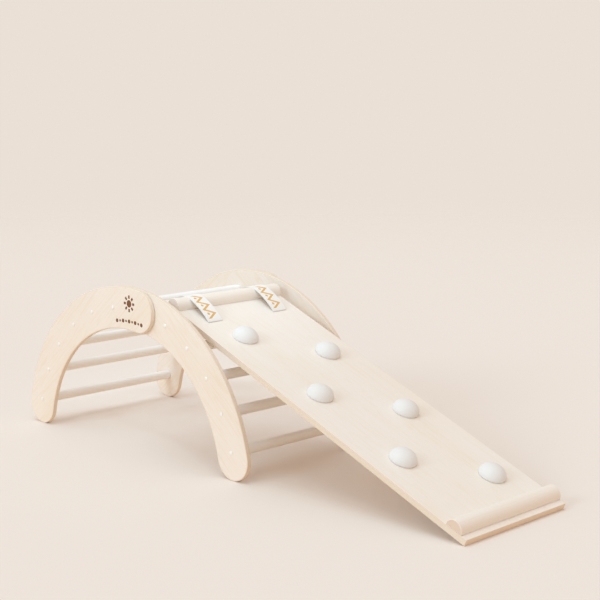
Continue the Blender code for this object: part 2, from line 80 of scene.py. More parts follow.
def middle(node):
    """Middle of a CAD node's box."""
    low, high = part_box(node)
    return (low + high) / 2


RUNG_COUNT = 6
LEFT_RUNGS = [middle(f"left_rung_{number}") for number in range(1, RUNG_COUNT + 1)]
RIGHT_RUNGS = [middle(f"right_rung_{number}") for number in range(1, RUNG_COUNT)]
RIGHT_RUNGS.append(middle("pivot_rung"))
PIVOT = RIGHT_RUNGS[-1]
RUNG_RADIUS = extent("left_rung_1", Z)[1] - LEFT_RUNGS[0].z

# The circle that the rungs lie on, through the foot rungs and the crown rungs
ARCH_X = (LEFT_RUNGS[0].x + RIGHT_RUNGS[0].x) / 2
FOOT_RUNG = RIGHT_RUNGS[0] - X * ARCH_X
CROWN_RUNG = PIVOT - X * ARCH_X
CIRCLE_Z = FOOT_RUNG.length_squared - CROWN_RUNG.length_squared
CIRCLE_Z /= 2 * (FOOT_RUNG.z - CROWN_RUNG.z)
CIRCLE = Vector((ARCH_X, 0, CIRCLE_Z))
CIRCLE_RADIUS = (PIVOT - CIRCLE).length
CROWN_ANGLE = math.asin((PIVOT.x - ARCH_X) / CIRCLE_RADIUS)

# The ramp's own axes: down its slope and off its board
DOWN = (middle("climbing_hold_1") - middle("climbing_hold_5")).normalized()
OFF = Vector((-DOWN.z, 0, DOWN.x))
SLOPE = math.atan2(-DOWN.z, DOWN.x)
BOARD_TOP, BOARD_FOOT = extent("ramp_board", DOWN)
UNDERSIDE, BOARD_FACE = extent("ramp_board", OFF)
BOARD_EDGE = extent("ramp_board", Y)[1]


# Settings


def length_setting(name, description, default):
    """A size in metres."""
    return FloatProperty(name=name, description=description, default=default, unit="LENGTH")


def colour_setting(name, description, default):
    """A colour as a shader or a lamp takes it."""
    return FloatVectorProperty(name=name, description=description, default=default, subtype="COLOR")


def strength_setting(name, description, default):
    """A lamp's strength."""
    return FloatProperty(name=name, description=description, default=default, min=0.0)


class ARCH_PG_plywood(bpy.types.PropertyGroup):
    """Panels, board and bars"""

    leg_width: length_setting("Leg width", "Width of a side panel's leg", 0.128)
    foot_flat: length_setting("Foot flat", "Depth of the flat that a foot stands on", 0.001)
    round_over: length_setting("Round-over", "Radius of the panels' edges", 0.0028)
    board_round: length_setting("Board edge", "Radius of the ramp board's edges", 0.001)
    bar_round: length_setting("Bar end", "Radius round the ends of the bars", 0.0035)
    ply_pitch: length_setting("Ply", "Thickness of one ply", 0.00136)
    engraving_depth: length_setting("Engraving", "Depth of the engraved motif", 0.0006)
    veneer: colour_setting("Veneer", "Pale wood between the grain lines", (0.90, 0.844, 0.79))
    grain: colour_setting("Grain", "Darker wood of the grain lines", (0.855, 0.76, 0.635))
    end_ply: colour_setting("End ply", "Plies seen across their grain", (0.66, 0.465, 0.32))
    burnt: colour_setting(
        "Engraving colour", "Burnt wood of the engraved motif", (0.17, 0.066, 0.028)
    )


class ARCH_PG_paint(bpy.types.PropertyGroup):
    """Painted rungs and holds, and the caps"""

    # The rungs' white is paler than the holds' as painted light on rungs that stand in shade; the
    # holds' white is darker as painted shade on holds that catch the lamps
    rung_white_with_painted_light: colour_setting("Rung white", "Paint of the rungs", (0.945, 0.945, 0.94))
    hold_white_with_painted_shade: colour_setting("Hold white", "Paint of the holds", (0.84, 0.835, 0.83))
    cap_white: colour_setting("Cap white", "Plastic of the screw caps", (0.96, 0.965, 0.97))
    zinc: colour_setting("Zinc", "Plating of the screws", (0.60, 0.60, 0.62))
    rung_edge: length_setting("Rung edge", "Radius at a rung's ends", 0.0012)
    rung_sides: IntProperty(
        name="Rung sides", description="Facets round a rung", default=64, min=12
    )
    hold_sides: IntProperty(
        name="Hold sides", description="Facets round a hold", default=96, min=16
    )


class ARCH_PG_webbing(bpy.types.PropertyGroup):
    """Woven straps"""

    thread: colour_setting("Thread", "Colour of the webbing", (0.94, 0.93, 0.915))
    print_colour: colour_setting("Print", "Colour of the printed motif", (0.76, 0.40, 0.07))
    thickness: length_setting("Thickness", "Thickness of the webbing", 0.0018)
    rib: length_setting("Rib", "Pitch of the weave's ribs along the strap", 0.0014)
    selvedge: length_setting("Selvedge", "Width of the woven edge", 0.0022)
    motif_length: length_setting("Motif", "Length of one printed zigzag", 0.036)
    motif_reach: length_setting("Motif reach", "Half of the printed zigzag's width", 0.0145)
    stroke: length_setting("Stroke", "Half of a printed line's width across the strap", 0.0062)
    spot: length_setting("Spot", "Radius of the printed dots", 0.0046)


class ARCH_PG_stage(bpy.types.PropertyGroup):
    """Camera, lamps and floor"""

    camera_offset: FloatVectorProperty(
        name="Camera", description="Camera's place from the arch's middle on the floor",
        subtype="TRANSLATION", unit="LENGTH", default=(3.239, -2.689, 1.1346),
    )
    camera_turn: FloatProperty(
        name="Turn", description="Camera's turn about the vertical", subtype="ANGLE",
        default=math.radians(45.821),
    )
    camera_dip: FloatProperty(
        name="Dip", description="How far the camera looks down", subtype="ANGLE",
        default=math.radians(9.539),
    )
    lens: FloatProperty(name="Lens", description="Focal length in millimetres", default=81.97)
    floor_colour: colour_setting("Floor", "Colour of the floor", (0.87, 0.805, 0.755))
    bounce: colour_setting(
        "Bounce", "Floor's colour in the light that it throws back", (0.90, 0.72, 0.57)
    )
    backdrop: colour_setting(
        "Backdrop", "What the camera sees behind the floor", (0.825, 0.745, 0.672)
    )
    key: strength_setting("Key", "Strength of the high lamp", 0.71)
    front: strength_setting("Front", "Strength of the low lamp in front", 0.76)
    fill: strength_setting("Fill", "Strength of the very wide lamp", 0.98)
    crown: strength_setting("Crown", "Watts of the soft spot on the crown", 88.0)
    room: strength_setting("Room", "Strength of the light from all round", 0.60)
    key_colour: colour_setting("Key colour", "Colour of the high lamp", (0.74, 0.92, 1.0))
    lamp_colour: colour_setting(
        "Lamp colour", "Colour of all the lamps but the high one", (0.60, 0.85, 1.0)
    )
    room_colour: colour_setting(
        "Room colour", "Colour of the light from all round", (1.0, 0.75, 0.58)
    )


# Shader graphs

# A Mix node's sockets when it mixes colours, and how a pattern's shift is shared between axes
MIX_FACTOR, MIX_FIRST, MIX_SECOND, MIX_RESULT = 0, 6, 7, 2
SHIFT_SHARES = (1.0, 1.7, 0.6)


def add(tree, kind, inputs=(), **settings):
    """Add a node; inputs pairs a socket with a value or with the socket that feeds it."""
    node = tree.nodes.new(kind)
    for name, value in settings.items():
        setattr(node, name, value)
    for key, value in dict(inputs).items():
        if isinstance(value, bpy.types.NodeSocket):
            tree.links.new(value, node.inputs[key])
        else:
            node.inputs[key].default_value = value
    return node


def calc(tree, operation, *values):
    """One step of arithmetic, as an output socket."""
    return add(tree, "ShaderNodeMath", dict(enumerate(values)), operation=operation).outputs[0]


def scaled(tree, value, share, base=0.0):
    """A share of a value, on top of a base, as an output socket."""
    return calc(tree, "MULTIPLY_ADD", value, share, base)


def vector_calc(tree, operation, *values):
    """One step of arithmetic with vectors, as a node."""
    return add(tree, "ShaderNodeVectorMath", dict(enumerate(values)), operation=operation)


def blend_colours(tree, factor, first, second):
    """Mix two colours, each a plain colour or a socket."""
    inputs = {MIX_FACTOR: factor}
    for index, value in ((MIX_FIRST, first), (MIX_SECOND, second)):
        inputs[index] = value if isinstance(value, bpy.types.NodeSocket) else (*value, 1)
    return add(tree, "ShaderNodeMix", inputs, data_type="RGBA").outputs[MIX_RESULT]


def toned(colour, share):
    """A darker or lighter tone of a plain colour."""
    return [channel * share for channel in colour]


def ramp(tree, value, low, high):
    """0 below low, 1 above high, smooth between."""
    spread = add(
        tree, "ShaderNodeMapRange", {"Value": value, "From Min": low, "From Max": high},
        interpolation_type="SMOOTHSTEP",
    )
    return spread.outputs["Result"]


def start_material(name, roughness, metallic=0.0):
    """A material with its tree and its shader."""
    material = bpy.data.materials.new(name)
    material.use_nodes = True
    tree = material.node_tree
    shader = tree.nodes["Principled BSDF"]
    shader.inputs["Roughness"].default_value = roughness
    shader.inputs["Metallic"].default_value = metallic
    return material, tree, shader


def object_place(tree):
    """Object coordinates."""
    return add(tree, "ShaderNodeTexCoord").outputs["Object"]


def turned_place(tree, along, across, origin):
    """Object coordinates about an origin, with x along the grain and z through the piece."""
    turn = Matrix((along, across, along.cross(across)))
    mapping = add(tree, "ShaderNodeMapping", {"Vector": object_place(tree)})
    mapping.inputs["Location"].default_value = -(turn @ origin)
    mapping.inputs["Rotation"].default_value = turn.to_euler()
    return mapping.outputs["Vector"]


def stretched(tree, place, scale, shift=0.0):
    """A place scaled along each axis, and shifted so that like pieces differ."""
    mapping = add(tree, "ShaderNodeMapping", {"Vector": place, "Scale": scale})
    mapping.inputs["Location"].default_value = [shift * share for share in SHIFT_SHARES]
    return mapping.outputs["Vector"]


def noise(tree, place, scale=1.0, detail=3.0, roughness=0.5, distortion=0.0):
    """Cloudy values between 0 and 1."""
    inputs = {"Vector": place, "Scale": scale, "Detail": detail}
    inputs.update({"Roughness": roughness, "Distortion": distortion})
    return add(tree, "ShaderNodeTexNoise", inputs).outputs["Fac"]


def finish_shader(tree, shader, colour, height, distance, strength, roughness=None):
    """Feed the shader its colour and bump, and its roughness where that varies."""
    tree.links.new(colour, shader.inputs["Base Color"])
    if roughness is not None:
        tree.links.new(roughness, shader.inputs["Roughness"])
    bump = {"Height": height, "Distance": distance, "Strength": strength}
    normal = add(tree, "ShaderNodeBump", bump).outputs["Normal"]
    tree.links.new(normal, shader.inputs["Normal"])


# Veneer: the stretch of each noise along, across and through the ply, the number of lines in
# the figure, the flecks' own shift, and how much darker wood each noise brings
DRIFT_SCALE, FIGURE_SCALE = (1.1, 4.0, 1.0), (1.3, 17.0, 1.0)
FIBRE_SCALE, FLECK_SCALE = (9.0, 430.0, 1.0), (150.0, 900.0, 1.0)
FIGURE_LINES, FLECK_SHIFT = 7.0, 3.0
LINE_SHARE, FIBRE_SHARE, DRIFT_SHARE, FLECK_SHARE = 0.30, 0.30, 0.34, 0.22


def veneer_material(name, along, across, origin, shift, tone, ply):
    """Birch face veneer: a soft flame figure, fine fibres and short flecks along the grain."""
    material, tree, shader = start_material(name, roughness=0.52)
    place = turned_place(tree, along, across, origin)
    drift = noise(tree, stretched(tree, place, DRIFT_SCALE, shift), scale=1.6, detail=2.0)
    figure = stretched(tree, place, FIGURE_SCALE, shift)
    figure = noise(tree, figure, detail=4.0, roughness=0.55, distortion=1.1)
    fibre = noise(tree, stretched(tree, place, FIBRE_SCALE, shift), roughness=0.6)
    fleck = noise(tree, stretched(tree, place, FLECK_SCALE, shift + FLECK_SHIFT), detail=1.0)
    lines = calc(tree, "PINGPONG", scaled(tree, figure, FIGURE_LINES), 0.5)
    dark = scaled(tree, ramp(tree, lines, low=0.30, high=0.52), LINE_SHARE)
    dark = scaled(tree, ramp(tree, fibre, low=0.42, high=0.75), FIBRE_SHARE, dark)
    dark = scaled(tree, ramp(tree, drift, low=0.35, high=0.75), DRIFT_SHARE, dark)
    dark = scaled(tree, ramp(tree, fleck, low=0.66, high=0.78), FLECK_SHARE, dark)
    colour = blend_colours(tree, scaled(tree, dark, tone), ply.veneer, ply.grain)
    sheen = scaled(tree, fibre, 0.16, base=0.46)
    finish_shader(tree, shader, colour, fibre, distance=0.00012, strength=0.6, roughness=sheen)
    return material


# Plywood edges: stretches, how much darker wood the blotches and fibres bring, and a glue
# line's width as a share of a ply, its darkness and its depth
BLOTCH_SCALE, EDGE_FIBRE_SCALE = (26.0, 26.0, 60.0), (300.0, 300.0, 500.0)
BLOTCH_SHARE, EDGE_FIBRE_SHARE = 0.5, 0.6
GLUE_WIDTH, GLUE_SHARE, GLUE_DIP = 0.07, 0.45, -0.6


def edge_material(name, along, across, origin, thickness, shift, tone, ply):
    """Edge of plywood: thin plies in turn along and across the grain, with dark glue lines."""
    material, tree, shader = start_material(name, roughness=0.6)
    place = turned_place(tree, along, across, origin)
    depth = add(tree, "ShaderNodeSeparateXYZ", {"Vector": place}).outputs["Z"]
    count = round(thickness / ply.ply_pitch / 2) * 2 + 1
    step = calc(tree, "DIVIDE", calc(tree, "ADD", depth, thickness / 2), thickness / count)
    end_grain = calc(tree, "GREATER_THAN", calc(tree, "FLOORED_MODULO", step, 2.0), 1.0)
    glue = calc(tree, "LESS_THAN", calc(tree, "PINGPONG", step, 0.5), GLUE_WIDTH)
    blotch = noise(tree, stretched(tree, place, BLOTCH_SCALE, shift))
    fibre = noise(tree, stretched(tree, place, EDGE_FIBRE_SCALE, shift), detail=2.0)
    long_ply = scaled(tree, blotch, BLOTCH_SHARE, base=0.4)
    long_ply = blend_colours(tree, long_ply, ply.veneer, ply.grain)
    end_ply = scaled(tree, fibre, EDGE_FIBRE_SHARE, base=tone)
    end_ply = blend_colours(tree, end_ply, ply.grain, ply.end_ply)
    colour = blend_colours(tree, end_grain, long_ply, end_ply)
    colour = blend_colours(tree, scaled(tree, glue, GLUE_SHARE), colour, ply.end_ply)
    height = scaled(tree, glue, GLUE_DIP, base=fibre)
    finish_shader(tree, shader, colour, height, distance=0.00015, strength=0.5)
    return material


# Bars: how far below a bar its rings have their heart, rings per metre and their wander, the
# stretches, and how much darker wood the rings and fibres bring, on the sides and the ends
HEART_DEPTH, RINGS_PER_METRE, RING_WANDER = 0.11, 330.0, 5.0
WANDER_SCALE, BAR_FIBRE_SCALE = (2.0, 9.0, 9.0), (12.0, 420.0, 420.0)
PORE_SCALE = (1.0, 900.0, 900.0)
RING_SHARE, BAR_FIBRE_SHARE, END_RING_SHARE, PORE_SHARE = 0.26, 0.24, 0.3, 0.4


def bar_rings(tree, place, shift):
    """Growth rings about a heart well below a bar, 0 to 0.5 and back across each."""
    wander = noise(tree, stretched(tree, place, WANDER_SCALE, shift), detail=2.0)
    from_heart = vector_calc(tree, "ADD", place, (0, 0, HEART_DEPTH)).outputs["Vector"]
    flat = vector_calc(tree, "MULTIPLY", from_heart, (0, 1, 1)).outputs["Vector"]
    reach = vector_calc(tree, "LENGTH", flat).outputs["Value"]
    rings = scaled(tree, reach, RINGS_PER_METRE, scaled(tree, wander, RING_WANDER))
    return calc(tree, "PINGPONG", rings, 0.5)


def bar_material(name, origin, shift, ply):
    """Solid birch: straight fibres and soft bands of the growth rings along the bar."""
    material, tree, shader = start_material(name, roughness=0.5)
    place = turned_place(tree, Y, DOWN, origin)
    rings = ramp(tree, bar_rings(tree, place, shift), low=0.16, high=0.5)
    fibre = noise(tree, stretched(tree, place, BAR_FIBRE_SCALE, shift), roughness=0.6)
    dark = scaled(tree, rings, RING_SHARE, scaled(tree, fibre, BAR_FIBRE_SHARE))
    colour = blend_colours(tree, dark, ply.veneer, ply.grain)
    finish_shader(tree, shader, colour, fibre, distance=0.0001, strength=0.5)
    return material


def bar_end_material(name, origin, shift, tone, ply):
    """End grain of a bar: bowed growth rings, darker than the bar's sides by its tone, whose low
    value on the top bar is painted light.
    """
    material, tree, shader = start_material(name, roughness=0.65)
    place = turned_place(tree, Y, DOWN, origin)
    pores = noise(tree, stretched(tree, place, PORE_SCALE, shift), detail=2.0)
    rings = ramp(tree, bar_rings(tree, place, shift), low=0.10, high=0.5)
    dark = scaled(tree, pores, PORE_SHARE * tone)
    dark = scaled(tree, rings, END_RING_SHARE * tone, dark)
    colour = blend_colours(tree, dark, ply.veneer, ply.end_ply)
    finish_shader(tree, shader, colour, pores, distance=0.0001, strength=0.5)
    return material


# The other tone of each finish, as a share of its colour; the thread's is painted hollow shade
SCORCHED, WORN_PAINT, DULL_CAP, DULL_ZINC, SHADED_THREAD = 2.1, 0.955, 0.95, 0.8, 0.74


def burnt_material(ply):
    """Floor of the engraving, browned by the burning."""
    material, tree, shader = start_material("burnt_birch", roughness=0.75)
    patchy = noise(tree, object_place(tree), scale=260.0)
    scorched = toned(ply.burnt, SCORCHED)
    colour = blend_colours(tree, scaled(tree, patchy, 0.45), ply.burnt, scorched)
    finish_shader(tree, shader, colour, patchy, distance=0.0002, strength=0.6)
    return material


def paint_material(name, colour, roughness, wood_scale):
    """Satin paint that lets a little of the turned wood's texture through."""
    material, tree, shader = start_material(name, roughness)
    place = object_place(tree)
    fibre = noise(tree, stretched(tree, place, wood_scale), roughness=0.6)
    cloud = noise(tree, place, scale=9.0, detail=2.0)
    uneven = scaled(tree, cloud, 0.5, scaled(tree, fibre, 0.5))
    coat = blend_colours(tree, uneven, colour, toned(colour, WORN_PAINT))
    gloss = scaled(tree, cloud, 0.1, base=roughness - 0.05)
    finish_shader(tree, shader, coat, fibre, distance=0.00008, strength=0.5, roughness=gloss)
    return material


def cap_material(paint):
    """Moulded plastic of the screw caps."""
    material, tree, shader = start_material("cap_plastic", roughness=0.38)
    speckle = noise(tree, object_place(tree), scale=900.0, detail=2.0)
    colour = blend_colours(tree, speckle, paint.cap_white, toned(paint.cap_white, DULL_CAP))
    finish_shader(tree, shader, colour, speckle, distance=0.00004, strength=0.4)
    return material


def zinc_material(paint):
    """Bright zinc plating with fine turning marks."""
    material, tree, shader = start_material("zinc_plate", roughness=0.32, metallic=1.0)
    mottle = noise(tree, object_place(tree), scale=700.0)
    colour = blend_colours(tree, mottle, paint.zinc, toned(paint.zinc, DULL_ZINC))
    gloss = scaled(tree, mottle, 0.18, base=0.24)
    finish_shader(tree, shader, colour, mottle, distance=0.00003, strength=0.4, roughness=gloss)
    return material


# Straps: the map's name, the yarns' pitch as a share of the ribs', the printed dots' distance
# from the middle as a share of the zigzag's reach, how much painted shade darkens the thread in
# the weave's hollows, how much darker the woven edge is, and how much print the fuzz takes
WEBBING_MAP = "webbing"
YARN_PITCH, DOT_REACH = 1.3, 0.62
HOLLOW_PAINTED_SHADE, HOLLOW_PAINTED_SHADE_DEEPEST, SELVEDGE_SHARE, FUZZ_SHARE = -0.132, 0.176, 0.12, -0.22


def printed(tree, along, across, webbing, print_start, print_end):
    """1 where the zigzag and its dots are printed on a strap, and 0 elsewhere."""
    bay = calc(tree, "PINGPONG", along, webbing.motif_length / 2)
    swing = calc(tree, "SUBTRACT", calc(tree, "DIVIDE", bay, webbing.motif_length / 4), 1.0)
    off_line = calc(tree, "ABSOLUTE", scaled(tree, swing, -webbing.motif_reach, across))
    line = calc(tree, "LESS_THAN", off_line, webbing.stroke)
    beside = calc(tree, "SUBTRACT", bay, webbing.motif_length / 2)
    below = calc(tree, "ADD", across, webbing.motif_reach * DOT_REACH)
    off_dot = calc(tree, "MULTIPLY_ADD", below, below, calc(tree, "MULTIPLY", beside, beside))
    inked = calc(tree, "MAXIMUM", line, calc(tree, "LESS_THAN", off_dot, webbing.spot ** 2))
    inked = calc(tree, "MULTIPLY", inked, calc(tree, "GREATER_THAN", along, print_start))
    return calc(tree, "MULTIPLY", inked, calc(tree, "LESS_THAN", along, print_end))


def webbing_material(webbing, print_start, print_end, width):
    """Ribbed weave on the strap's own map, with painted shade in its hollows, and a printed zigzag
    and dots where it shows.
    """
    material, tree, shader = start_material("white_webbing", roughness=0.85)
    place = add(tree, "ShaderNodeUVMap", uv_map=WEBBING_MAP).outputs["UV"]
    axes = add(tree, "ShaderNodeSeparateXYZ", {"Vector": place})
    along, across = axes.outputs["X"], axes.outputs["Y"]
    rib = calc(tree, "SINE", scaled(tree, along, math.tau / webbing.rib))
    yarn = calc(tree, "SINE", scaled(tree, across, math.tau / (webbing.rib * YARN_PITCH)))
    height = scaled(tree, calc(tree, "MULTIPLY", rib, yarn), 0.5, base=0.5)
    fuzz = noise(tree, object_place(tree), scale=1400.0, detail=2.0)
    inner = width / 2 - webbing.selvedge
    selvedge = calc(tree, "GREATER_THAN", calc(tree, "ABSOLUTE", across), inner)
    # Painted shade darkens the thread in the weave's hollows, where the ribs are low; the woven
    # edges are darker too
    dark = scaled(tree, height, HOLLOW_PAINTED_SHADE, base=HOLLOW_PAINTED_SHADE_DEEPEST)
    dark = scaled(tree, selvedge, SELVEDGE_SHARE, dark)
    thread = blend_colours(tree, dark, webbing.thread, toned(webbing.thread, SHADED_THREAD))
    inked = printed(tree, along, across, webbing, print_start, print_end)
    ink = calc(tree, "MULTIPLY", inked, scaled(tree, fuzz, FUZZ_SHARE, base=1.0))
    colour = blend_colours(tree, ink, thread, webbing.print_colour)
    shader.inputs["Sheen Weight"].default_value = 0.08
    shader.inputs["Sheen Roughness"].default_value = 0.5
    height = scaled(tree, fuzz, 0.5, height)
    finish_shader(tree, shader, colour, height, distance=0.0003, strength=0.7)
    return material


# Modelling

# Edges that turn more than this stay crisp
SMOOTH_ANGLE = math.radians(40)


def make_piece(name, bm, materials):
    """A piece with its object at the origin and its place in its mesh."""
    mesh = bpy.data.meshes.new(name)
    bm.to_mesh(mesh)
    bm.free()
    piece = bpy.data.objects.new(name, mesh)
    for material in materials:
        mesh.materials.append(material)
    bpy.context.scene.collection.objects.link(piece)
    return piece


def shade(piece):
    """Smooth faces, crisp corners, and flats that stay flat beside a round edge."""
    piece.data.shade_smooth()
    piece.data.set_sharp_from_angle(angle=SMOOTH_ANGLE)
    flats = piece.modifiers.new("flats", "WEIGHTED_NORMAL")
    flats.keep_sharp = True


def carve(piece, shape):
    """Cut a closed shape out of a piece for good."""
    cutter = make_piece("cutter", shape, piece.data.materials)
    modifier = piece.modifiers.new("carve", "BOOLEAN")
    modifier.operation = "DIFFERENCE"
    modifier.solver = "EXACT"
    modifier.object = cutter
    seen = piece.evaluated_get(bpy.context.evaluated_depsgraph_get())
    carved = bpy.data.meshes.new_from_object(seen)
    piece.modifiers.clear()
    blank = piece.data
    piece.data = carved
    bpy.data.meshes.remove(blank)
    bpy.data.objects.remove(cutter, do_unlink=True)


def hand_over(piece, body, slot, *nodes):
    """Shade a finished piece, and let it stand for its CAD nodes."""
    shade(piece)
    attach(piece, body)
    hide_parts(*nodes)


def join(bm, part):
    """Move one closed shape into another mesh."""
    carrier = bpy.data.meshes.new("carrier")
    part.to_mesh(carrier)
    part.free()
    bm.from_mesh(carrier)
    bpy.data.meshes.remove(carrier)


def placed(bm, place=None, material=0):
    """Give a new shape one material and put it in place."""
    for face in bm.faces:
        face.material_index = material
    if place is not None:
        bmesh.ops.transform(bm, matrix=place, verts=bm.verts)
    return bm


def turned(profile, steps, place=None, material=0):
    """Turn (radius, height) pairs about Z into a closed shape, then put it in place."""
    bm = bmesh.new()
    ring = [bm.verts.new((radius, 0, height)) for radius, height in profile]
    edges = [bm.edges.new(pair) for pair in zip(ring, ring[1:])]
    bmesh.ops.spin(
        bm, geom=ring + edges, cent=(0, 0, 0), axis=Z, dvec=(0, 0, 0), angle=math.tau, steps=steps,
        use_merge=True, use_duplicate=False,
    )
    bmesh.ops.remove_doubles(bm, verts=bm.verts, dist=WELD)
    bmesh.ops.recalc_face_normals(bm, faces=bm.faces)
    return placed(bm, place, material)


def prism(outline, near, far, material=0):
    """Extrude a closed outline of (x, z) points along Y."""
    bm = bmesh.new()
    face = bm.faces.new([bm.verts.new((x, near, z)) for x, z in outline])
    grown = bmesh.ops.extrude_face_region(bm, geom=[face])
    moved = [item for item in grown["geom"] if isinstance(item, bmesh.types.BMVert)]
    bmesh.ops.translate(bm, verts=moved, vec=(0, far - near, 0))
    bmesh.ops.recalc_face_normals(bm, faces=bm.faces)
    return placed(bm, material=material)


def block(size, place=None, material=0):
    """A box about the origin, then put in place."""
    bm = bmesh.new()
    bmesh.ops.create_cube(bm, size=1)
    bmesh.ops.scale(bm, vec=size, verts=bm.verts)
    return placed(bm, place, material)


def rims(bm):
    """The edges round a prism's two ends."""
    return [edge for edge in bm.edges if abs(edge.verts[0].co.y - edge.verts[1].co.y) < WELD]


def round_edges(bm, edges, radius, segments):
    """Round edges over by a radius."""
    bmesh.ops.bevel(
        bm, geom=edges, offset=radius, offset_type="OFFSET", segments=segments, profile=0.5,
        affect="EDGES", material=-1, clamp_overlap=True,
    )


def mark_flats(bm, axis, flat, rest):
    """Material numbers for the faces that lie flat across an axis, and for the rest."""
    for face in bm.faces:
        face.material_index = flat if abs(face.normal.dot(axis)) > FLAT else rest


def sweep(start, end, steps):
    """Angles in equal steps, with both ends."""
    return [start + (end - start) * step / steps for step in range(steps + 1)]


def arc(centre, radius, start, end, steps):
    """Points (x, z) on an arc, angles from +Z towards +X."""
    return [
        (centre.x + radius * math.sin(angle), centre.z + radius * math.cos(angle))
        for angle in sweep(start, end, steps)
    ]


def quarter(core, reach, seat, rise, steps):
    """(radius, height) pairs on a quarter round, from its side up to its top."""
    return [
        (core + reach * math.cos(angle), seat + rise * math.sin(angle))
        for angle in sweep(0, math.pi / 2, steps)
    ]


def outward(point, y, side):
    """Turn and move a shape so that its +Z points out of the front (-1) or the back (1)."""
    return Matrix.Translation((point.x, y, point.z)) @ Matrix.Rotation(-side * math.pi / 2, 4, "X")


def on_ramp(along, across, off):
    """Turn and move a shape from the ramp's own axes to its place on the ramp."""
    place = DOWN * along + Y * across + OFF * off
    return Matrix.Translation(place) @ Matrix.Rotation(SLOPE, 4, "Y")


def seated(node, off):
    """A CAD node's place on the ramp, this far off the slope."""
    low, high = extent(node, DOWN)
    return on_ramp((low + high) / 2, middle(node).y, off)


# Side panels

# Steps along the leg, the lobe and the foot, round a hole, and across a rounded edge
ARC_STEPS, LOBE_STEPS, FOOT_STEPS, HOLE_STEPS, ROUND_STEPS = 96, 64, 28, 32, 5

# A rung screw's hole, for its head and for its shank
HOLE_RADIUS, HOLE_DEPTH = 0.0050, 0.0053
SHANK_HOLE_RADIUS, SHANK_HOLE_LENGTH = 0.0028, 0.020

# The crown rung's tenon, which is the hinge's pin, and how far it goes into a left panel; the
# hook slot's sweep about it
TENON_RADIUS, TENON_BITE = 0.009, 0.010
HOOK_SWEEP, HOOK_STEPS = math.radians(60), 32

# Keeps the fine arcs inside the coarser outline of the CAD's panels
OUTLINE_TRIM = 0.0004

# How strong the grain is on faces and edges, and how far apart the panels' patterns lie
PANEL_TONE, PANEL_EDGE_TONE = 1.5, 0.1
HALF_SHIFT, SIDE_SHIFT = 3.1, 1.3


def panel_outline(half, ply):
    """A half arch's panel: a foot with a flat, the curved leg and a round crown lobe."""
    foot_height = ply.leg_width / 2 - ply.foot_flat
    foot_angle = math.acos((foot_height - CIRCLE.z) / CIRCLE_RADIUS)
    leg = ply.leg_width / 2 - OUTLINE_TRIM
    outer, inner = CIRCLE_RADIUS + leg, CIRCLE_RADIUS - leg
    foot = CIRCLE + Vector((-math.sin(foot_angle), 0, math.cos(foot_angle))) * CIRCLE_RADIUS
    flat = math.acos(foot_height / leg)
    outline = arc(CIRCLE, outer, -foot_angle, CROWN_ANGLE, ARC_STEPS)
    outline += arc(PIVOT, leg, CROWN_ANGLE, CROWN_ANGLE + math.pi, LOBE_STEPS)[1:]
    outline += arc(CIRCLE, inner, CROWN_ANGLE, -foot_angle, ARC_STEPS)[1:]
    outline += arc(foot, leg, math.pi - foot_angle, math.pi - flat, FOOT_STEPS)[1:]
    outline += arc(foot, leg, math.pi + flat, math.tau - foot_angle, FOOT_STEPS)[:-1]
    return [(ARCH_X - half * (x - ARCH_X), z) for x, z in outline]


def screw_hole(point, face, side):
    """Stepped hole for a rung screw."""
    depth = HOLE_DEPTH + SHANK_HOLE_LENGTH
    profile = [
        (0, OVERRUN), (HOLE_RADIUS, OVERRUN), (HOLE_RADIUS, -HOLE_DEPTH),
        (SHANK_HOLE_RADIUS, -HOLE_DEPTH), (SHANK_HOLE_RADIUS, -depth), (0, -depth),
    ]
    return turned(profile, HOLE_STEPS, outward(point, face, side), 1)


def hook_slot(near, far):
    """Slot in a right lobe: closed above the left crown rung, open below."""
    hooked = LEFT_RUNGS[-1]
    width = RUNG_RADIUS + CLEARANCE * 2
    swing = (hooked - PIVOT).length
    closed = -math.pi / 2
    mouth = closed - HOOK_SWEEP
    outline = arc(hooked, width, math.pi / 2, closed, HOOK_STEPS)
    outline += arc(PIVOT, swing + width, closed, mouth, HOOK_STEPS)[1:]
    outline += arc(PIVOT, swing - width, mouth, closed, HOOK_STEPS)[:-1]
    return prism(outline, near, far, 1)


# The engraved sun and its row of dots, whose sizes take turns, both placed from the crown rung
SUN_PLACE, SUN_RADIUS = Vector((-0.0415, 0, 0.0205)), 0.0112
RAY_COUNT, RAY_START, RAY_END, RAY_WIDTH = 8, 0.0152, 0.0252, 0.0074
DOT_COUNT, DOT_RADIUS = 9, (0.0060, 0.0038)
DOT_ROW, DOT_ROW_LENGTH, DOT_ROW_RISE = Vector((-0.0430, 0, -0.0330)), 0.118, -0.004


def dot(radius, x, z, face, depth):
    """A round mark to engrave into the front face."""
    profile = [(0, OVERRUN), (radius, OVERRUN), (radius, -depth), (0, -depth)]
    return turned(profile, HOLE_STEPS, outward(Vector((x, 0, z)), face, -1), 2)


def sun_motif(face, depth):
    """Generic engraving for the front lobe: a plain sun over a bowed row of dots."""
    sun = PIVOT + SUN_PLACE
    marks = bmesh.new()
    join(marks, dot(SUN_RADIUS, sun.x, sun.z, face, depth))
    for number in range(RAY_COUNT):
        turn = math.tau * number / RAY_COUNT
        toward = Vector((math.sin(turn), 0, math.cos(turn)))
        beside = Vector((toward.z, 0, -toward.x)) * RAY_WIDTH / 2
        foot, tip = sun + toward * RAY_START, sun + toward * RAY_END
        corners = [foot - beside, foot + beside, tip + beside, tip - beside]
        outline = [(corner.x, corner.z) for corner in corners]
        join(marks, prism(outline, face - OVERRUN, face + depth, 2))
    for number in range(DOT_COUNT):
        share = number / (DOT_COUNT - 1) * 2 - 1
        x = PIVOT.x + DOT_ROW.x + share * DOT_ROW_LENGTH / 2
        z = PIVOT.z + DOT_ROW.z + DOT_ROW_RISE * share ** 2
        join(marks, dot(DOT_RADIUS[number % 2], x, z, face, depth))
    return marks


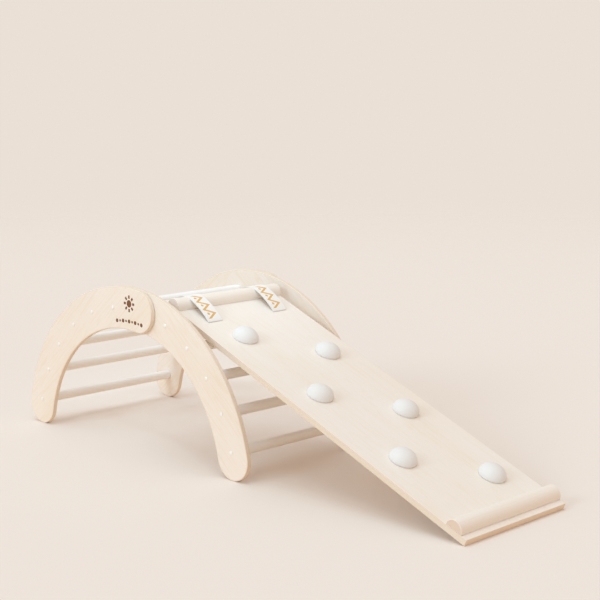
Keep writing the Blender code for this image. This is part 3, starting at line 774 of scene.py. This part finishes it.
def cut_panel(panel, node, half, side, ply):
    """Screw holes, the crown hinge's bore, the hook slot and the engraving."""
    low, high = extent(node, Y)
    face, inner = (high, low) if side > 0 else (low, high)
    rungs = LEFT_RUNGS if half < 0 else RIGHT_RUNGS[:-1]
    holes = bmesh.new()
    for rung in rungs:
        join(holes, screw_hole(rung, face, side))
    bore = TENON_RADIUS + CLEARANCE
    depth = TENON_BITE + CLEARANCE if half < 0 else high - low + OVERRUN
    profile = [(0, depth), (bore, depth), (bore, -OVERRUN), (0, -OVERRUN)]
    join(holes, turned(profile, HOLE_STEPS * 2, outward(PIVOT, inner, side), 1))
    carve(panel, holes)
    if half > 0:
        carve(panel, hook_slot(low - OVERRUN, high + OVERRUN))
    if half < 0 and side < 0:
        carve(panel, sun_motif(face, ply.engraving_depth))


class ARCH_OT_panels(bpy.types.Operator):
    """Make the four curved plywood side panels"""

    bl_idname = "climbing_arch.panels"
    bl_label = "Side panels"

    def execute(self, context):
        ply = context.scene.arch_plywood
        burnt = burnt_material(ply)
        for half, word, rungs in ((-1, "left", LEFT_RUNGS), (1, "right", RIGHT_RUNGS)):
            grain = (rungs[-1] - rungs[0]).normalized()
            across = Y.cross(grain)
            for side, face_word in ((-1, "front"), (1, "back")):
                node = f"{word}_panel_{face_word}"
                low, high = extent(node, Y)
                bm = prism(panel_outline(half, ply), low, high)
                round_edges(bm, rims(bm), ply.round_over, ROUND_STEPS)
                mark_flats(bm, Y, flat=0, rest=1)
                centre = Y * (low + high) / 2
                shift = half * HALF_SHIFT + side * SIDE_SHIFT
                veneer = veneer_material(
                    node + "_veneer", grain, across, centre, shift, PANEL_TONE, ply
                )
                edge = edge_material(
                    node + "_edge", grain, across, centre, high - low, shift, PANEL_EDGE_TONE, ply
                )
                panel = make_piece(node + "_ply", bm, (veneer, edge, burnt))
                cut_panel(panel, node, half, side, ply)
                hand_over(panel, "arch_" + word, "birch_plywood", node)
        return {"FINISHED"}


# Rungs and their screws

# The screws and the white caps over their heads
SCREW_SHANK, SCREW_HEAD, HEAD_DEPTH, TIP_LENGTH = 0.0025, 0.0047, 0.005, 0.004
CAP_RADIUS, CAP_HEIGHT, CAP_RIM = 0.0055, 0.0018, 0.0006
CAP_SIDES, CAP_STEPS = 40, 8

# Steps across the rounded edge of a rung's end, and the stretch of the wood's texture under the
# paint, for rungs and for holds
EDGE_STEPS = 4
RUNG_WOOD, HOLD_WOOD = (420, 14, 420), (160, 160, 160)


def end_round(radius, height, edge):
    """(radius, height) pairs round the rim of a flat end, from its face to its side."""
    return quarter(radius - edge, edge, height - edge, edge, EDGE_STEPS)[::-1]


def mirrored(upper):
    """A profile that is the same below as above, from top to bottom."""
    return upper + [(radius, -height) for radius, height in reversed(upper)]


class ARCH_OT_rungs(bpy.types.Operator):
    """Make the white rungs between the panels"""

    bl_idname = "climbing_arch.rungs"
    bl_label = "Rungs"

    def execute(self, context):
        paint = context.scene.arch_paint
        white = paint_material("rung_paint", paint.rung_white_with_painted_light, 0.5, RUNG_WOOD)
        for word, rungs in (("left", LEFT_RUNGS), ("right", RIGHT_RUNGS)):
            for number, centre in enumerate(rungs, start=1):
                node = f"{word}_rung_{number}" if centre is not PIVOT else "pivot_rung"
                end = extent(node, Y)[1]
                if centre is PIVOT:
                    shoulder = extent("right_panel_back", Y)[0] - CLEARANCE
                    upper = [(0, end), *end_round(TENON_RADIUS, end, paint.rung_edge)]
                    upper += [(TENON_RADIUS, shoulder)]
                    upper += end_round(RUNG_RADIUS, shoulder, paint.rung_edge)
                else:
                    floor = extent(f"{word}_rung_screw_back_{number}", Y)[0] - CLEARANCE
                    upper = [(0, floor), (SHANK_HOLE_RADIUS, floor), (SHANK_HOLE_RADIUS, end)]
                    upper += end_round(RUNG_RADIUS, end, paint.rung_edge)
                bm = turned(mirrored(upper), paint.rung_sides, outward(centre, 0, 1))
                piece = make_piece(node + "_turned", bm, (white,))
                hand_over(piece, "arch_" + word, "white_rung", node)
        return {"FINISHED"}


def capped_screw(length):
    """A screw with a low white cap over its head; height 0 is the panel's face."""
    profile = [(0, -length), (SCREW_SHANK, TIP_LENGTH - length), (SCREW_SHANK, -HEAD_DEPTH)]
    profile += [(SCREW_HEAD, -HEAD_DEPTH), (SCREW_HEAD, CLEARANCE), (CAP_RADIUS, CLEARANCE)]
    crown = quarter(0, CAP_RADIUS, CLEARANCE + CAP_RIM, CAP_HEIGHT - CAP_RIM, CAP_STEPS)
    return profile + crown


class ARCH_OT_rung_screws(bpy.types.Operator):
    """Make the rung screws with their white caps"""

    bl_idname = "climbing_arch.rung_screws"
    bl_label = "Rung screws"

    def execute(self, context):
        paint = context.scene.arch_paint
        looks = (cap_material(paint), zinc_material(paint))
        for word, rungs in (("left", LEFT_RUNGS), ("right", RIGHT_RUNGS[:-1])):
            for side, face_word in ((-1, "front"), (1, "back")):
                face = extent(f"{word}_panel_{face_word}", Y)[0 if side < 0 else 1]
                for number, centre in enumerate(rungs, start=1):
                    node = f"{word}_rung_screw_{face_word}_{number}"
                    low, high = extent(node, Y)
                    length = face - low if side > 0 else high - face
                    bm = turned(capped_screw(length), CAP_SIDES, outward(centre, face, side))
                    for mesh_face in bm.faces:
                        depth = (mesh_face.calc_center_median().y - face) * side
                        mesh_face.material_index = 0 if depth > 0 else 1
                    piece = make_piece(node + "_capped", bm, looks)
                    hand_over(piece, "arch_" + word, "capped_screw", node)
        return {"FINISHED"}


# Ramp

STRAPS = ("strap_front", "strap_back")
HOLD_NUMBERS = range(1, 7)
HOLD_NODES = [f"climbing_hold_{number}" for number in HOLD_NUMBERS]
BAR_NODES = ("ramp_bar_top", "ramp_bar_foot")
BOARD_SCREWS = [f"hold_screw_{number}" for number in HOLD_NUMBERS]
BOARD_SCREWS += [f"{end}_bar_screw_{side}" for end in ("top", "foot") for side in ("front", "back")]

# The countersunk screws and their cross recess, a hold's tucked foot and its pilot hole, and
# the steps across the rounded shapes
COUNTERSUNK_HEAD, COUNTERSUNK_DEPTH, COUNTERSUNK_SHANK = 0.0045, 0.0025, 0.00225
COUNTERSUNK_SIDES = 24
RECESS_ARM, RECESS_WIDTH, RECESS_DEPTH = 0.0026, 0.0009, 0.0016
HOLD_TUCK, HOLD_TUCK_HEIGHT, HOLD_TUCK_STEPS, DOME_STEPS = 0.0024, 0.004, 6, 32
PILOT_RADIUS, PILOT_DEPTH = 0.00255, 0.0143
BAR_STEPS, BOARD_ROUND_STEPS = 64, 4

# How strong the grain is on the board and on the bars' ends, and where their patterns lie; the top
# bar's end grain is paler than the foot bar's as painted light, since it stands in the panel's
# shade
BOARD_TONE, BOARD_EDGE_TONE, BAR_END_TONES_WITH_PAINTED_LIGHT = 1.0, -0.15, (0.4, 1.7)
BOARD_SHIFT, BAR_SHIFT = 5.2, 2.3


def strap_thickness():
    """Thickness of a CAD strap, as the gap between the crown rung and the wrap's far side."""
    return PIVOT.dot(DOWN) - extent(STRAPS[0], DOWN)[0] - RUNG_RADIUS - CLEARANCE


def strap_slot():
    """Where the straps go through the board: just past their furthest reach down the slope."""
    return extent(STRAPS[0], DOWN)[1] - strap_thickness() / 2


def cut_board(board):
    """Countersunk screw holes and strap slots."""
    holes = bmesh.new()
    head, shank = COUNTERSUNK_HEAD + CLEARANCE, COUNTERSUNK_SHANK + CLEARANCE
    through = BOARD_FACE - UNDERSIDE + OVERRUN
    profile = [
        (0, -OVERRUN), (head, -OVERRUN), (head, 0), (shank, COUNTERSUNK_DEPTH + CLEARANCE),
        (shank, through), (0, through),
    ]
    for node in BOARD_SCREWS:
        join(holes, turned(profile, HOLE_STEPS, seated(node, UNDERSIDE), 1))
    gap = strap_thickness() / 2 + CLEARANCE * 2
    for node in STRAPS:
        low, high = extent(node, Y)
        size = (gap * 2, high - low + CLEARANCE * 4, through + OVERRUN)
        place = on_ramp(strap_slot(), (low + high) / 2, (UNDERSIDE + BOARD_FACE) / 2)
        join(holes, block(size, place, 1))
    carve(board, holes)


class ARCH_OT_board(bpy.types.Operator):
    """Make the ramp's plywood board"""

    bl_idname = "climbing_arch.board"
    bl_label = "Ramp board"

    def execute(self, context):
        ply = context.scene.arch_plywood
        length, thickness = BOARD_FOOT - BOARD_TOP - CLEARANCE * 2, BOARD_FACE - UNDERSIDE
        bm = block((length, BOARD_EDGE * 2, thickness))
        standing = [vert for vert in bm.verts if vert.co.x > 0 and vert.co.z < 0]
        edges = [edge for edge in bm.edges if not all(vert in standing for vert in edge.verts)]
        round_edges(bm, edges, ply.board_round, BOARD_ROUND_STEPS)
        mark_flats(bm, Z, flat=0, rest=1)
        place = on_ramp((BOARD_TOP + BOARD_FOOT) / 2, 0, (UNDERSIDE + BOARD_FACE) / 2)
        bmesh.ops.transform(bm, matrix=place, verts=bm.verts)
        centre = place.translation
        veneer = veneer_material("board_veneer", DOWN, Y, centre, BOARD_SHIFT, BOARD_TONE, ply)
        edge = edge_material(
            "board_edge", DOWN, Y, centre, thickness, BOARD_SHIFT, BOARD_EDGE_TONE, ply
        )
        board = make_piece("ramp_board_ply", bm, (veneer, edge))
        cut_board(board)
        hand_over(board, "ramp", "birch_plywood", "ramp_board")
        return {"FINISHED"}


class ARCH_OT_bars(bpy.types.Operator):
    """Make the two half-round bars on the board"""

    bl_idname = "climbing_arch.bars"
    bl_label = "Bars"

    def execute(self, context):
        ply = context.scene.arch_plywood
        # The top bar's end grain takes a pale tone as painted light; the foot bar's takes a dark
        # one
        for number, (node, tone) in enumerate(zip(BAR_NODES, BAR_END_TONES_WITH_PAINTED_LIGHT), start=1):
            low, high = extent(node, DOWN)
            seat, crest = extent(node, OFF)
            reach, rise = (high - low) / 2, crest - seat
            angles = sweep(0, math.pi, BAR_STEPS)
            outline = [(reach * math.cos(angle), rise * math.sin(angle)) for angle in angles]
            bm = prism(outline, *extent(node, Y))
            round_edges(bm, rims(bm), ply.bar_round, ROUND_STEPS)
            place = on_ramp((low + high) / 2, 0, seat)
            bmesh.ops.transform(bm, matrix=place, verts=bm.verts)
            mark_flats(bm, Y, flat=1, rest=0)
            centre, shift = place.translation, number * BAR_SHIFT
            sides = bar_material(node + "_birch", centre, shift, ply)
            end_grain = bar_end_material(node + "_end_grain", centre, shift, tone, ply)
            bar = make_piece(node + "_round", bm, (sides, end_grain))
            hand_over(bar, "ramp", "birch_bar", node)
        return {"FINISHED"}


class ARCH_OT_holds(bpy.types.Operator):
    """Make the six domed climbing holds"""

    bl_idname = "climbing_arch.holds"
    bl_label = "Climbing holds"

    def execute(self, context):
        paint = context.scene.arch_paint
        white = paint_material("hold_paint", paint.hold_white_with_painted_shade, 0.55, HOLD_WOOD)
        for node in HOLD_NODES:
            near, far = extent(node, Y)
            seat, crest = extent(node, OFF)
            radius = (far - near) / 2
            profile = [(0, PILOT_DEPTH), (PILOT_RADIUS, PILOT_DEPTH), (PILOT_RADIUS, 0)]
            for angle in sweep(0, math.pi / 2, HOLD_TUCK_STEPS)[:-1]:
                tucked = radius - HOLD_TUCK * (1 - math.sin(angle))
                profile.append((tucked, HOLD_TUCK_HEIGHT * (1 - math.cos(angle))))
            rise = crest - seat - HOLD_TUCK_HEIGHT
            profile += quarter(0, radius, HOLD_TUCK_HEIGHT, rise, DOME_STEPS)
            dome = turned(profile, paint.hold_sides, seated(node, seat))
            piece = make_piece(node + "_dome", dome, (white,))
            hand_over(piece, "ramp", "white_hold", node)
        return {"FINISHED"}


class ARCH_OT_board_screws(bpy.types.Operator):
    """Make the countersunk screws under the board"""

    bl_idname = "climbing_arch.board_screws"
    bl_label = "Countersunk screws"

    def execute(self, context):
        zinc = zinc_material(context.scene.arch_paint)
        recess = (RECESS_ARM * 2, RECESS_WIDTH, RECESS_DEPTH * 2)
        for node in BOARD_SCREWS:
            foot, tip = extent(node, OFF)
            length = tip - foot
            profile = [
                (0, 0), (COUNTERSUNK_HEAD, 0), (COUNTERSUNK_SHANK, COUNTERSUNK_DEPTH),
                (COUNTERSUNK_SHANK, length - TIP_LENGTH), (0, length),
            ]
            place = seated(node, foot)
            screw = make_piece(node + "_zinc", turned(profile, COUNTERSUNK_SIDES, place), (zinc,))
            for turn in (0, math.pi / 2):
                carve(screw, block(recess, place @ Matrix.Rotation(turn, 4, "Z")))
            hand_over(screw, "ramp", "steel_screw", node)
        return {"FINISHED"}


# Straps

# Where a strap leaves the crown rung and meets the top bar, as the turn of its outward normal,
# and how much steeper than the board it comes to the slot; how far it holds these directions
LEAVES_RUNG, MEETS_BAR, ENTRY_ANGLE = math.radians(140), math.radians(112), math.radians(28)
RISE_REACH, FALL_REACH, ENTRY_REACH = 0.035, 0.036, 0.030

# Radii of its bends at the slot, and how its ends overlap under the board
TOP_BEND, UNDER_BEND = 0.004, 0.0016
OVERLAP_SETBACK, OVERLAP_STEP = 0.010, 0.002
WRAP_STEPS, RUN_STEPS, CREST_STEPS, BEND_STEPS = 48, 28, 12, 8
STRAP_COLUMNS = 12

# The print starts this far before the bar's crest, and stops this far short of the slot
PRINT_LEAD, PRINT_MARGIN = 0.004, 0.012


def turn_about(centre, radius, start, end, steps):
    """Points on an arc in the ramp's axes, angles from down-slope towards the board's face."""
    return [
        centre + radius * Vector((math.cos(angle), math.sin(angle)))
        for angle in sweep(start, end, steps)
    ]


def heading(normal):
    """Direction of a clockwise path whose outward normal has this angle."""
    return Vector((math.sin(normal), -math.cos(normal)))


def crest_point(angle, gap):
    """Place beside the top bar where a line whose normal has this angle touches it."""
    low, high = extent("ramp_bar_top", DOWN)
    seat, crest = extent("ramp_bar_top", OFF)
    along, up = (high - low) / 2 + gap, crest - seat + gap
    support = math.hypot(along * math.cos(angle), up * math.sin(angle))
    point = Vector((along ** 2 * math.cos(angle), up ** 2 * math.sin(angle))) / support
    return Vector(((low + high) / 2, seat)) + point


def strap_line():
    """Middle line of a strap in the ramp's axes, whose ends overlap under the board."""
    half = strap_thickness() / 2
    crown = Vector((PIVOT.dot(DOWN), PIVOT.dot(OFF)))
    rest = Vector((RIGHT_RUNGS[-2].dot(DOWN), RIGHT_RUNGS[-2].dot(OFF)))
    wrap = RUNG_RADIUS + CLEARANCE + half
    run = UNDERSIDE - CLEARANCE - half
    apart = rest - crown
    crossing = math.atan2(apart.y, apart.x) + math.acos(-2 * wrap / apart.length)
    slot = strap_slot()

    # The inner end, a layer below the board's run, round the rest rung and the crown rung
    start = slot - UNDER_BEND - OVERLAP_SETBACK
    end = rest.x + RUNG_RADIUS
    line = [Vector((start, run - half * 2)), Vector((end + OVERLAP_STEP * 2, run - half * 2))]
    line += [Vector((end, run - half))]
    line += turn_about(rest, wrap, math.pi / 2, crossing, BEND_STEPS)
    line += turn_about(crown, wrap, crossing + math.pi, LEAVES_RUNG, WRAP_STEPS)

    # Up to the bar, over its crest and down to the slot
    crest = crest_point(MEETS_BAR, half)
    rise = line[-1] + heading(LEAVES_RUNG) * RISE_REACH
    meet = crest - heading(MEETS_BAR) * RISE_REACH
    line += interpolate_bezier(line[-1], rise, meet, crest, RUN_STEPS)[1:-1]
    line += [crest_point(angle, half) for angle in sweep(MEETS_BAR, math.pi / 2, CREST_STEPS)]
    entry_angle = math.pi / 2 - ENTRY_ANGLE
    bend_centre = Vector((slot - TOP_BEND, BOARD_FACE + CLEARANCE))
    bend = turn_about(bend_centre, TOP_BEND, entry_angle, 0, BEND_STEPS)
    fall = line[-1] + heading(math.pi / 2) * FALL_REACH
    entry = bend[0] - heading(entry_angle) * ENTRY_REACH
    line += interpolate_bezier(line[-1], fall, entry, bend[0], RUN_STEPS)[1:-1] + bend

    # Through the slot and back under the board, over the inner end
    bend_centre = Vector((slot - UNDER_BEND, run + UNDER_BEND))
    line += turn_about(bend_centre, UNDER_BEND, 0, -math.pi / 2, BEND_STEPS)
    line.append(Vector((end + OVERLAP_STEP * 2, run)))
    return [Vector((point[0], point[1])) for point in line]


def strap_lengths(line):
    """Length along the strap at each of its points, and at the bar's crest and the slot."""
    lengths = [0.0]
    for before, after in zip(line, line[1:]):
        lengths.append(lengths[-1] + (after - before).length)
    highest = max(range(len(line)), key=lambda index: line[index].y)
    furthest = max(range(len(line)), key=lambda index: line[index].x)
    return lengths, lengths[highest], lengths[furthest]


def strap_band(line, lengths, near, far, thickness):
    """Extrude the line across the strap's width, map it, and give it its thickness."""
    bm = bmesh.new()
    first = [bm.verts.new(DOWN * point.x + Y * near + OFF * point.y) for point in line]
    edges = [bm.edges.new(pair) for pair in zip(first, first[1:])]
    for _ in range(STRAP_COLUMNS):
        grown = bmesh.ops.extrude_edge_only(bm, edges=edges)["geom"]
        moved = [item for item in grown if isinstance(item, bmesh.types.BMVert)]
        edges = [item for item in grown if isinstance(item, bmesh.types.BMEdge)]
        bmesh.ops.translate(bm, verts=moved, vec=(0, (far - near) / STRAP_COLUMNS, 0))
    bm.verts.index_update()
    map_layer = bm.loops.layers.uv.new(WEBBING_MAP)
    for face in bm.faces:
        for loop in face.loops:
            place = Vector((loop.vert.co.dot(DOWN), loop.vert.co.dot(OFF)))
            nearest = min(range(len(line)), key=lambda index: (line[index] - place).length_squared)
            loop[map_layer].uv = (lengths[nearest], loop.vert.co.y - (near + far) / 2)
    bmesh.ops.recalc_face_normals(bm, faces=bm.faces)
    bmesh.ops.solidify(bm, geom=bm.faces, thickness=thickness)
    return bm


class ARCH_OT_straps(bpy.types.Operator):
    """Make the two woven straps"""

    bl_idname = "climbing_arch.straps"
    bl_label = "Straps"

    def execute(self, context):
        webbing = context.scene.arch_webbing
        line = strap_line()
        lengths, at_crest, at_slot = strap_lengths(line)
        near, far = extent(STRAPS[0], Y)
        print_start, print_end = at_crest - PRINT_LEAD, at_slot - PRINT_MARGIN
        look = webbing_material(webbing, print_start, print_end, far - near)
        for node in STRAPS:
            bm = strap_band(line, lengths, *extent(node, Y), webbing.thickness)
            piece = make_piece(node + "_webbing", bm, (look,))
            hand_over(piece, "ramp", "white_webbing", node)
        return {"FINISHED"}


# Stage

# Half of the floor's width, and where it fades into the backdrop
FLOOR_REACH = 40.0
FADE_START, FADE_END = 3.0, 9.0

# The wide lamps' places and spreads, and the soft spot on the crown
SUNS = {
    "key": (Vector((-0.5, -0.8, 5.5)), math.radians(45)),
    "front": (Vector((-0.7, -4.0, 1.9)), math.radians(20)),
    "fill": (Vector((-1.2, -2.6, 3.6)), math.radians(150)),
}
CROWN_PLACE, CROWN_CONE, CROWN_SIZE = Vector((1.5, -1.2, 2.6)), math.radians(17), 0.25


def add_lamp(name, kind, energy, colour, place, target):
    """A lamp that shines from its place towards a target, unseen by the camera."""
    light = bpy.data.lights.new(name, kind)
    light.energy = energy
    light.color = colour
    holder = bpy.data.objects.new(name, light)
    holder.location = place
    holder.rotation_euler = (place - target).to_track_quat("Z", "Y").to_euler()
    holder.visible_camera = False
    bpy.context.scene.collection.objects.link(holder)
    return light


def make_floor(stage):
    """A pale floor that fades into the backdrop."""
    bm = bmesh.new()
    bmesh.ops.create_grid(bm, x_segments=1, y_segments=1, size=FLOOR_REACH)
    material, tree, shader = start_material("floor", roughness=0.9)
    shader.inputs["Specular IOR Level"].default_value = 0.1
    place = object_place(tree)
    cloud = noise(tree, place, scale=0.7, detail=2.0)
    even = blend_colours(tree, cloud, stage.floor_colour, toned(stage.floor_colour, 0.985))
    seen = add(tree, "ShaderNodeLightPath").outputs["Is Camera Ray"]
    tree.links.new(blend_colours(tree, seen, stage.bounce, even), shader.inputs["Base Color"])
    away = vector_calc(tree, "LENGTH", place).outputs["Value"]
    shown = calc(tree, "SUBTRACT", 1.0, ramp(tree, away, FADE_START, FADE_END))
    tree.links.new(shown, shader.inputs["Alpha"])
    make_piece("floor", bm, (material,))


def background(tree, colour, strength):
    """Light of one colour from all round."""
    inputs = {"Color": (*colour, 1), "Strength": strength}
    return add(tree, "ShaderNodeBackground", inputs).outputs["Background"]


def make_world(stage):
    """A plain backdrop for the camera and for gloss, and an even light for the rest."""
    world = bpy.data.worlds.new("room")
    world.use_nodes = True
    tree = world.node_tree
    tree.nodes.clear()
    path = add(tree, "ShaderNodeLightPath").outputs
    seen = calc(tree, "MAXIMUM", path["Is Camera Ray"], path["Is Glossy Ray"])
    seen = calc(tree, "MAXIMUM", seen, path["Is Transmission Ray"])
    shown = background(tree, stage.backdrop, 1.0)
    fill = background(tree, stage.room_colour, stage.room)
    both = add(tree, "ShaderNodeMixShader", {0: seen, 1: fill, 2: shown})
    add(tree, "ShaderNodeOutputWorld", {"Surface": both.outputs[0]})
    bpy.context.scene.world = world


class ARCH_OT_stage(bpy.types.Operator):
    """Make the camera, lamps, floor and backdrop"""

    bl_idname = "climbing_arch.stage"
    bl_label = "Stage"

    def execute(self, context):
        stage = context.scene.arch_stage
        eye = bpy.data.cameras.new("camera")
        eye.lens = stage.lens
        eye.clip_end = FLOOR_REACH * 4
        camera = bpy.data.objects.new("camera", eye)
        camera.location = X * ARCH_X + Vector(stage.camera_offset)
        camera.rotation_euler = (math.pi / 2 - stage.camera_dip, 0, stage.camera_turn)
        context.scene.collection.objects.link(camera)
        context.scene.camera = camera
        for name, (place, spread) in SUNS.items():
            colour = stage.key_colour if name == "key" else stage.lamp_colour
            sun = add_lamp(name, "SUN", getattr(stage, name), colour, place, CIRCLE)
            sun.angle = spread
        crown = add_lamp("crown", "SPOT", stage.crown, stage.lamp_colour, CROWN_PLACE, PIVOT)
        crown.spot_size = CROWN_CONE
        crown.spot_blend = 1.0
        crown.shadow_soft_size = CROWN_SIZE
        make_floor(stage)
        make_world(stage)
        context.scene.view_settings.view_transform = "Standard"
        return {"FINISHED"}


OPERATORS = (
    ARCH_OT_panels, ARCH_OT_rungs, ARCH_OT_rung_screws, ARCH_OT_board, ARCH_OT_bars,
    ARCH_OT_holds, ARCH_OT_board_screws, ARCH_OT_straps, ARCH_OT_stage,
)
GROUPS = {
    "arch_plywood": ARCH_PG_plywood,
    "arch_paint": ARCH_PG_paint,
    "arch_webbing": ARCH_PG_webbing,
    "arch_stage": ARCH_PG_stage,
}


class ARCH_PT_sidebar(bpy.types.Panel):
    """Sizes, colours and buttons of the climbing arch"""

    bl_idname = "ARCH_PT_sidebar"
    bl_label = "Climbing arch"
    bl_space_type = "VIEW_3D"
    bl_region_type = "UI"
    bl_category = "Climbing arch"

    def draw(self, context):
        for operator in OPERATORS:
            self.layout.operator(operator.bl_idname)
        for name, group in GROUPS.items():
            box = self.layout.box()
            box.label(text=group.__doc__)
            for field in group.__annotations__:
                box.prop(getattr(context.scene, name), field)


def register():
    """Register the classes, and give the scene its settings."""
    for item in (*GROUPS.values(), *OPERATORS, ARCH_PT_sidebar):
        bpy.utils.register_class(item)
    for name, group in GROUPS.items():
        setattr(bpy.types.Scene, name, PointerProperty(type=group))


def unregister():
    """Take it all back, in reverse."""
    for name in GROUPS:
        delattr(bpy.types.Scene, name)
    for item in (ARCH_PT_sidebar, *reversed(OPERATORS), *reversed(GROUPS.values())):
        bpy.utils.unregister_class(item)


def main():
    """Register, and make every piece and the stage."""
    register()
    for operator in OPERATORS:
        group, name = operator.bl_idname.split(".")
        getattr(getattr(bpy.ops, group), name)()


if __name__ == "__main__":
    main()
